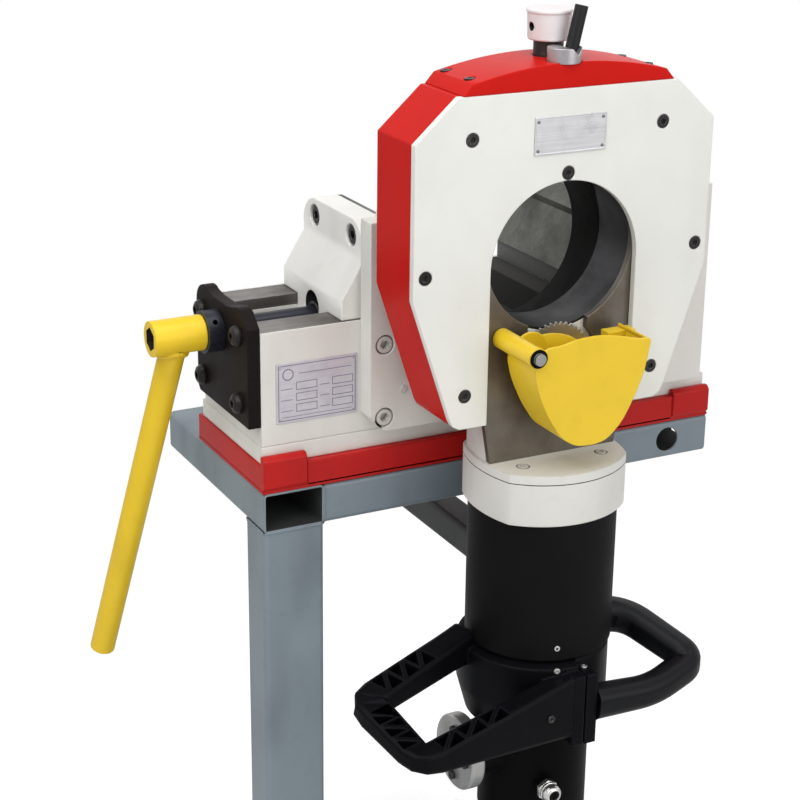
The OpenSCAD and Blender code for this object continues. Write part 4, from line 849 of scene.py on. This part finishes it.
# The skin of the right handle follows its middle line, with the width and the height
# at each turn, and bends from one straight length into the next.
grip_turns = [(16, -65, -466, 34, 34), (92, -65, -470, 32, 31), (156, -49, -457, 32, 32),
              (109, 19, -420, 34, 34), (80, 27, -418, 34, 38)]
bend_reach, bend_steps, corner_core, corner_round = 22, 10, 12, 12.3
grip_line = [grip_turns[0]]
for before, turn, after in zip(grip_turns, grip_turns[1:], grip_turns[2:]):
    start, end = ([t + (n - t) * bend_reach / math.dist(turn, near) for t, n in zip(turn, near)]
                  for near in (before, after))
    for step in range(bend_steps + 1):
        share = step / bend_steps
        grip_line.append([a * (1 - share) ** 2 + t * 2 * share * (1 - share) + b * share ** 2
                          for a, t, b in zip(start, turn, end)])
grip_line.append(grip_turns[-1])
grip, rings = bmesh.new(), []
for k, (x, y, z, wide, tall) in enumerate(grip_line):
    before, after = grip_line[max(k - 1, 0)], grip_line[min(k + 1, len(grip_line) - 1)]
    along = (Vector(after[:3]) - Vector(before[:3])).normalized()
    side = along.cross(Vector(to_top)).normalized()
    upward = side.cross(along)
    ring = []
    for quarter, (right, up) in enumerate(((1, 1), (-1, 1), (-1, -1), (1, -1))):
        for step in range(10):
            turn = math.radians(quarter * 90 + step * 10)
            off_side = right * (wide / 2 - corner_core) + corner_round * math.cos(turn)
            off_up = up * (tall / 2 - corner_core) + corner_round * math.sin(turn)
            ring.append(grip.verts.new(at(x, y, z) + (side * off_side + upward * off_up) * mm))
    rings.append(ring)
for first, second in zip(rings, rings[1:]):
    for k in range(len(first)):
        grip.faces.new((first[k - 1], first[k], second[k], second[k - 1]))
for ring in (rings[0], rings[-1]):
    grip.faces.new(ring)
bmesh.ops.recalc_face_normals(grip, faces=grip.faces)
fit("right_grip", grip, grip_black, "slide", 50)

block_places = [facing((-0.34, -0.94, 0), at(-25.9, -59.6, -423.6)), facing(to_top, at(8.0, -58.2, -424.6))]
block_screw = socket_screw(3.4, 3.0, 1.6, 1.4)
fit("handle_screws", repeated(block_screw, block_places), bright_screw, "slide")
arm_places = [facing((0.11, -0.99, 0), at(-43.9, -81.6, -464.5))]
arm_screw = socket_screw(4.4, 3.4, 2.1, 1.8)
fit("handle_arm_screw", repeated(arm_screw, arm_places), screw_black, "slide")

# Studio: pale floor that turns to plain white away from the stand, a white world,
# soft lamps above, in front and at the left, and the camera at eye height.
floor_round, floor_drop, shadow_end, white_from = 7.0, 0.0005, 0.45, 1.5
floor_shape = bmesh.new()
bmesh.ops.create_circle(floor_shape, cap_ends=True, segments=96, radius=floor_round)
bmesh.ops.translate(floor_shape, vec=(0, 0, cad_box[0][2] - floor_drop), verts=floor_shape.verts)
floor_mesh = bpy.data.meshes.new("studio_floor")
floor_shape.to_mesh(floor_mesh)
floor_shape.free()
floor = bpy.data.objects.new("studio_floor", floor_mesh)
bpy.context.scene.collection.objects.link(floor)
white = (1, 1, 1, 1)
floor_white, floor_tree, floor_shader, floor_where = blank("floor_white", Roughness=0.9,
                                                           Specular_IOR_Level=0.0)
floor_shader.inputs["Base Color"].default_value = (0.9, 0.9, 0.9, 1.0)
away = put(floor_tree, "VectorMath", operation="LENGTH")
join(floor_tree, away.inputs[0], floor_where)
fade = spread(floor_tree, away.outputs["Value"], shadow_end, white_from)
seen = put(floor_tree, "LightPath").outputs["Is Camera Ray"]
pale = put(floor_tree, "Emission", Color=white, Strength=times(floor_tree, seen, 0.5))
lit = put(floor_tree, "AddShader")
join(floor_tree, lit.inputs[0], floor_shader.outputs[0])
join(floor_tree, lit.inputs[1], pale.outputs[0])
glow = put(floor_tree, "Emission", Color=white, Strength=1.0)
covered = put(floor_tree, "MixShader", Fac=times(floor_tree, fade, seen))
join(floor_tree, covered.inputs[1], lit.outputs[0])
join(floor_tree, covered.inputs[2], glow.outputs[0])
join(floor_tree, floor_tree.nodes["Material Output"].inputs["Surface"], covered.outputs[0])
floor_mesh.materials.append(floor_white)

ambient = 0.34
world = bpy.data.worlds.new("studio_white")
bpy.context.scene.world = world
world.use_nodes = True
sky = world.node_tree
path = put(sky, "LightPath").outputs
shown = most(sky, path["Is Camera Ray"], path["Is Glossy Ray"], path["Is Transmission Ray"])
sky.nodes["Background"].inputs["Color"].default_value = white
join(sky, sky.nodes["Background"].inputs["Strength"], spread(sky, shown, 0.0, 1.0, ambient, 1.0))


def lamp(name, place, target, size, power):
    light = bpy.data.lights.new(name, "AREA")
    light.size, light.energy = size, power
    made = bpy.data.objects.new(name, light)
    bpy.context.scene.collection.objects.link(made)
    made.location = place
    made.rotation_euler = (target - place).to_track_quat("-Z", "Y").to_euler()


aim = at(-50, 100, -150)
lamp("top_lamp", at(-300, -500, 1900), aim, 2.4, 36.0)
lamp("front_lamp", at(900, -2300, 700), aim, 2.0, 21.0)
lamp("left_lamp", at(-2000, -600, 1500), aim, 2.0, 24.0)

eye, lens, sensor = at(-983.5, -1550.9, 523.3), 85.4, 36.0
yaw, pitch, roll = math.radians(27.28), math.radians(20.12), math.radians(-0.67)
ahead = Vector((math.sin(yaw) * math.cos(pitch), math.cos(yaw) * math.cos(pitch), -math.sin(pitch)))
level_right = Vector((math.cos(yaw), -math.sin(yaw), 0))
level_down = ahead.cross(level_right)
right = level_right * math.cos(roll) + level_down * math.sin(roll)
down = level_down * math.cos(roll) - level_right * math.sin(roll)
camera_data = bpy.data.cameras.new("photo_camera")
camera_data.lens, camera_data.sensor_width = lens, sensor
camera = bpy.data.objects.new("photo_camera", camera_data)
bpy.context.scene.collection.objects.link(camera)
camera.matrix_world = Matrix.Translation(eye) @ Matrix((right, -down, -ahead)).transposed().to_4x4()
bpy.context.scene.camera = camera
bpy.context.scene.view_settings.view_transform = "Standard"
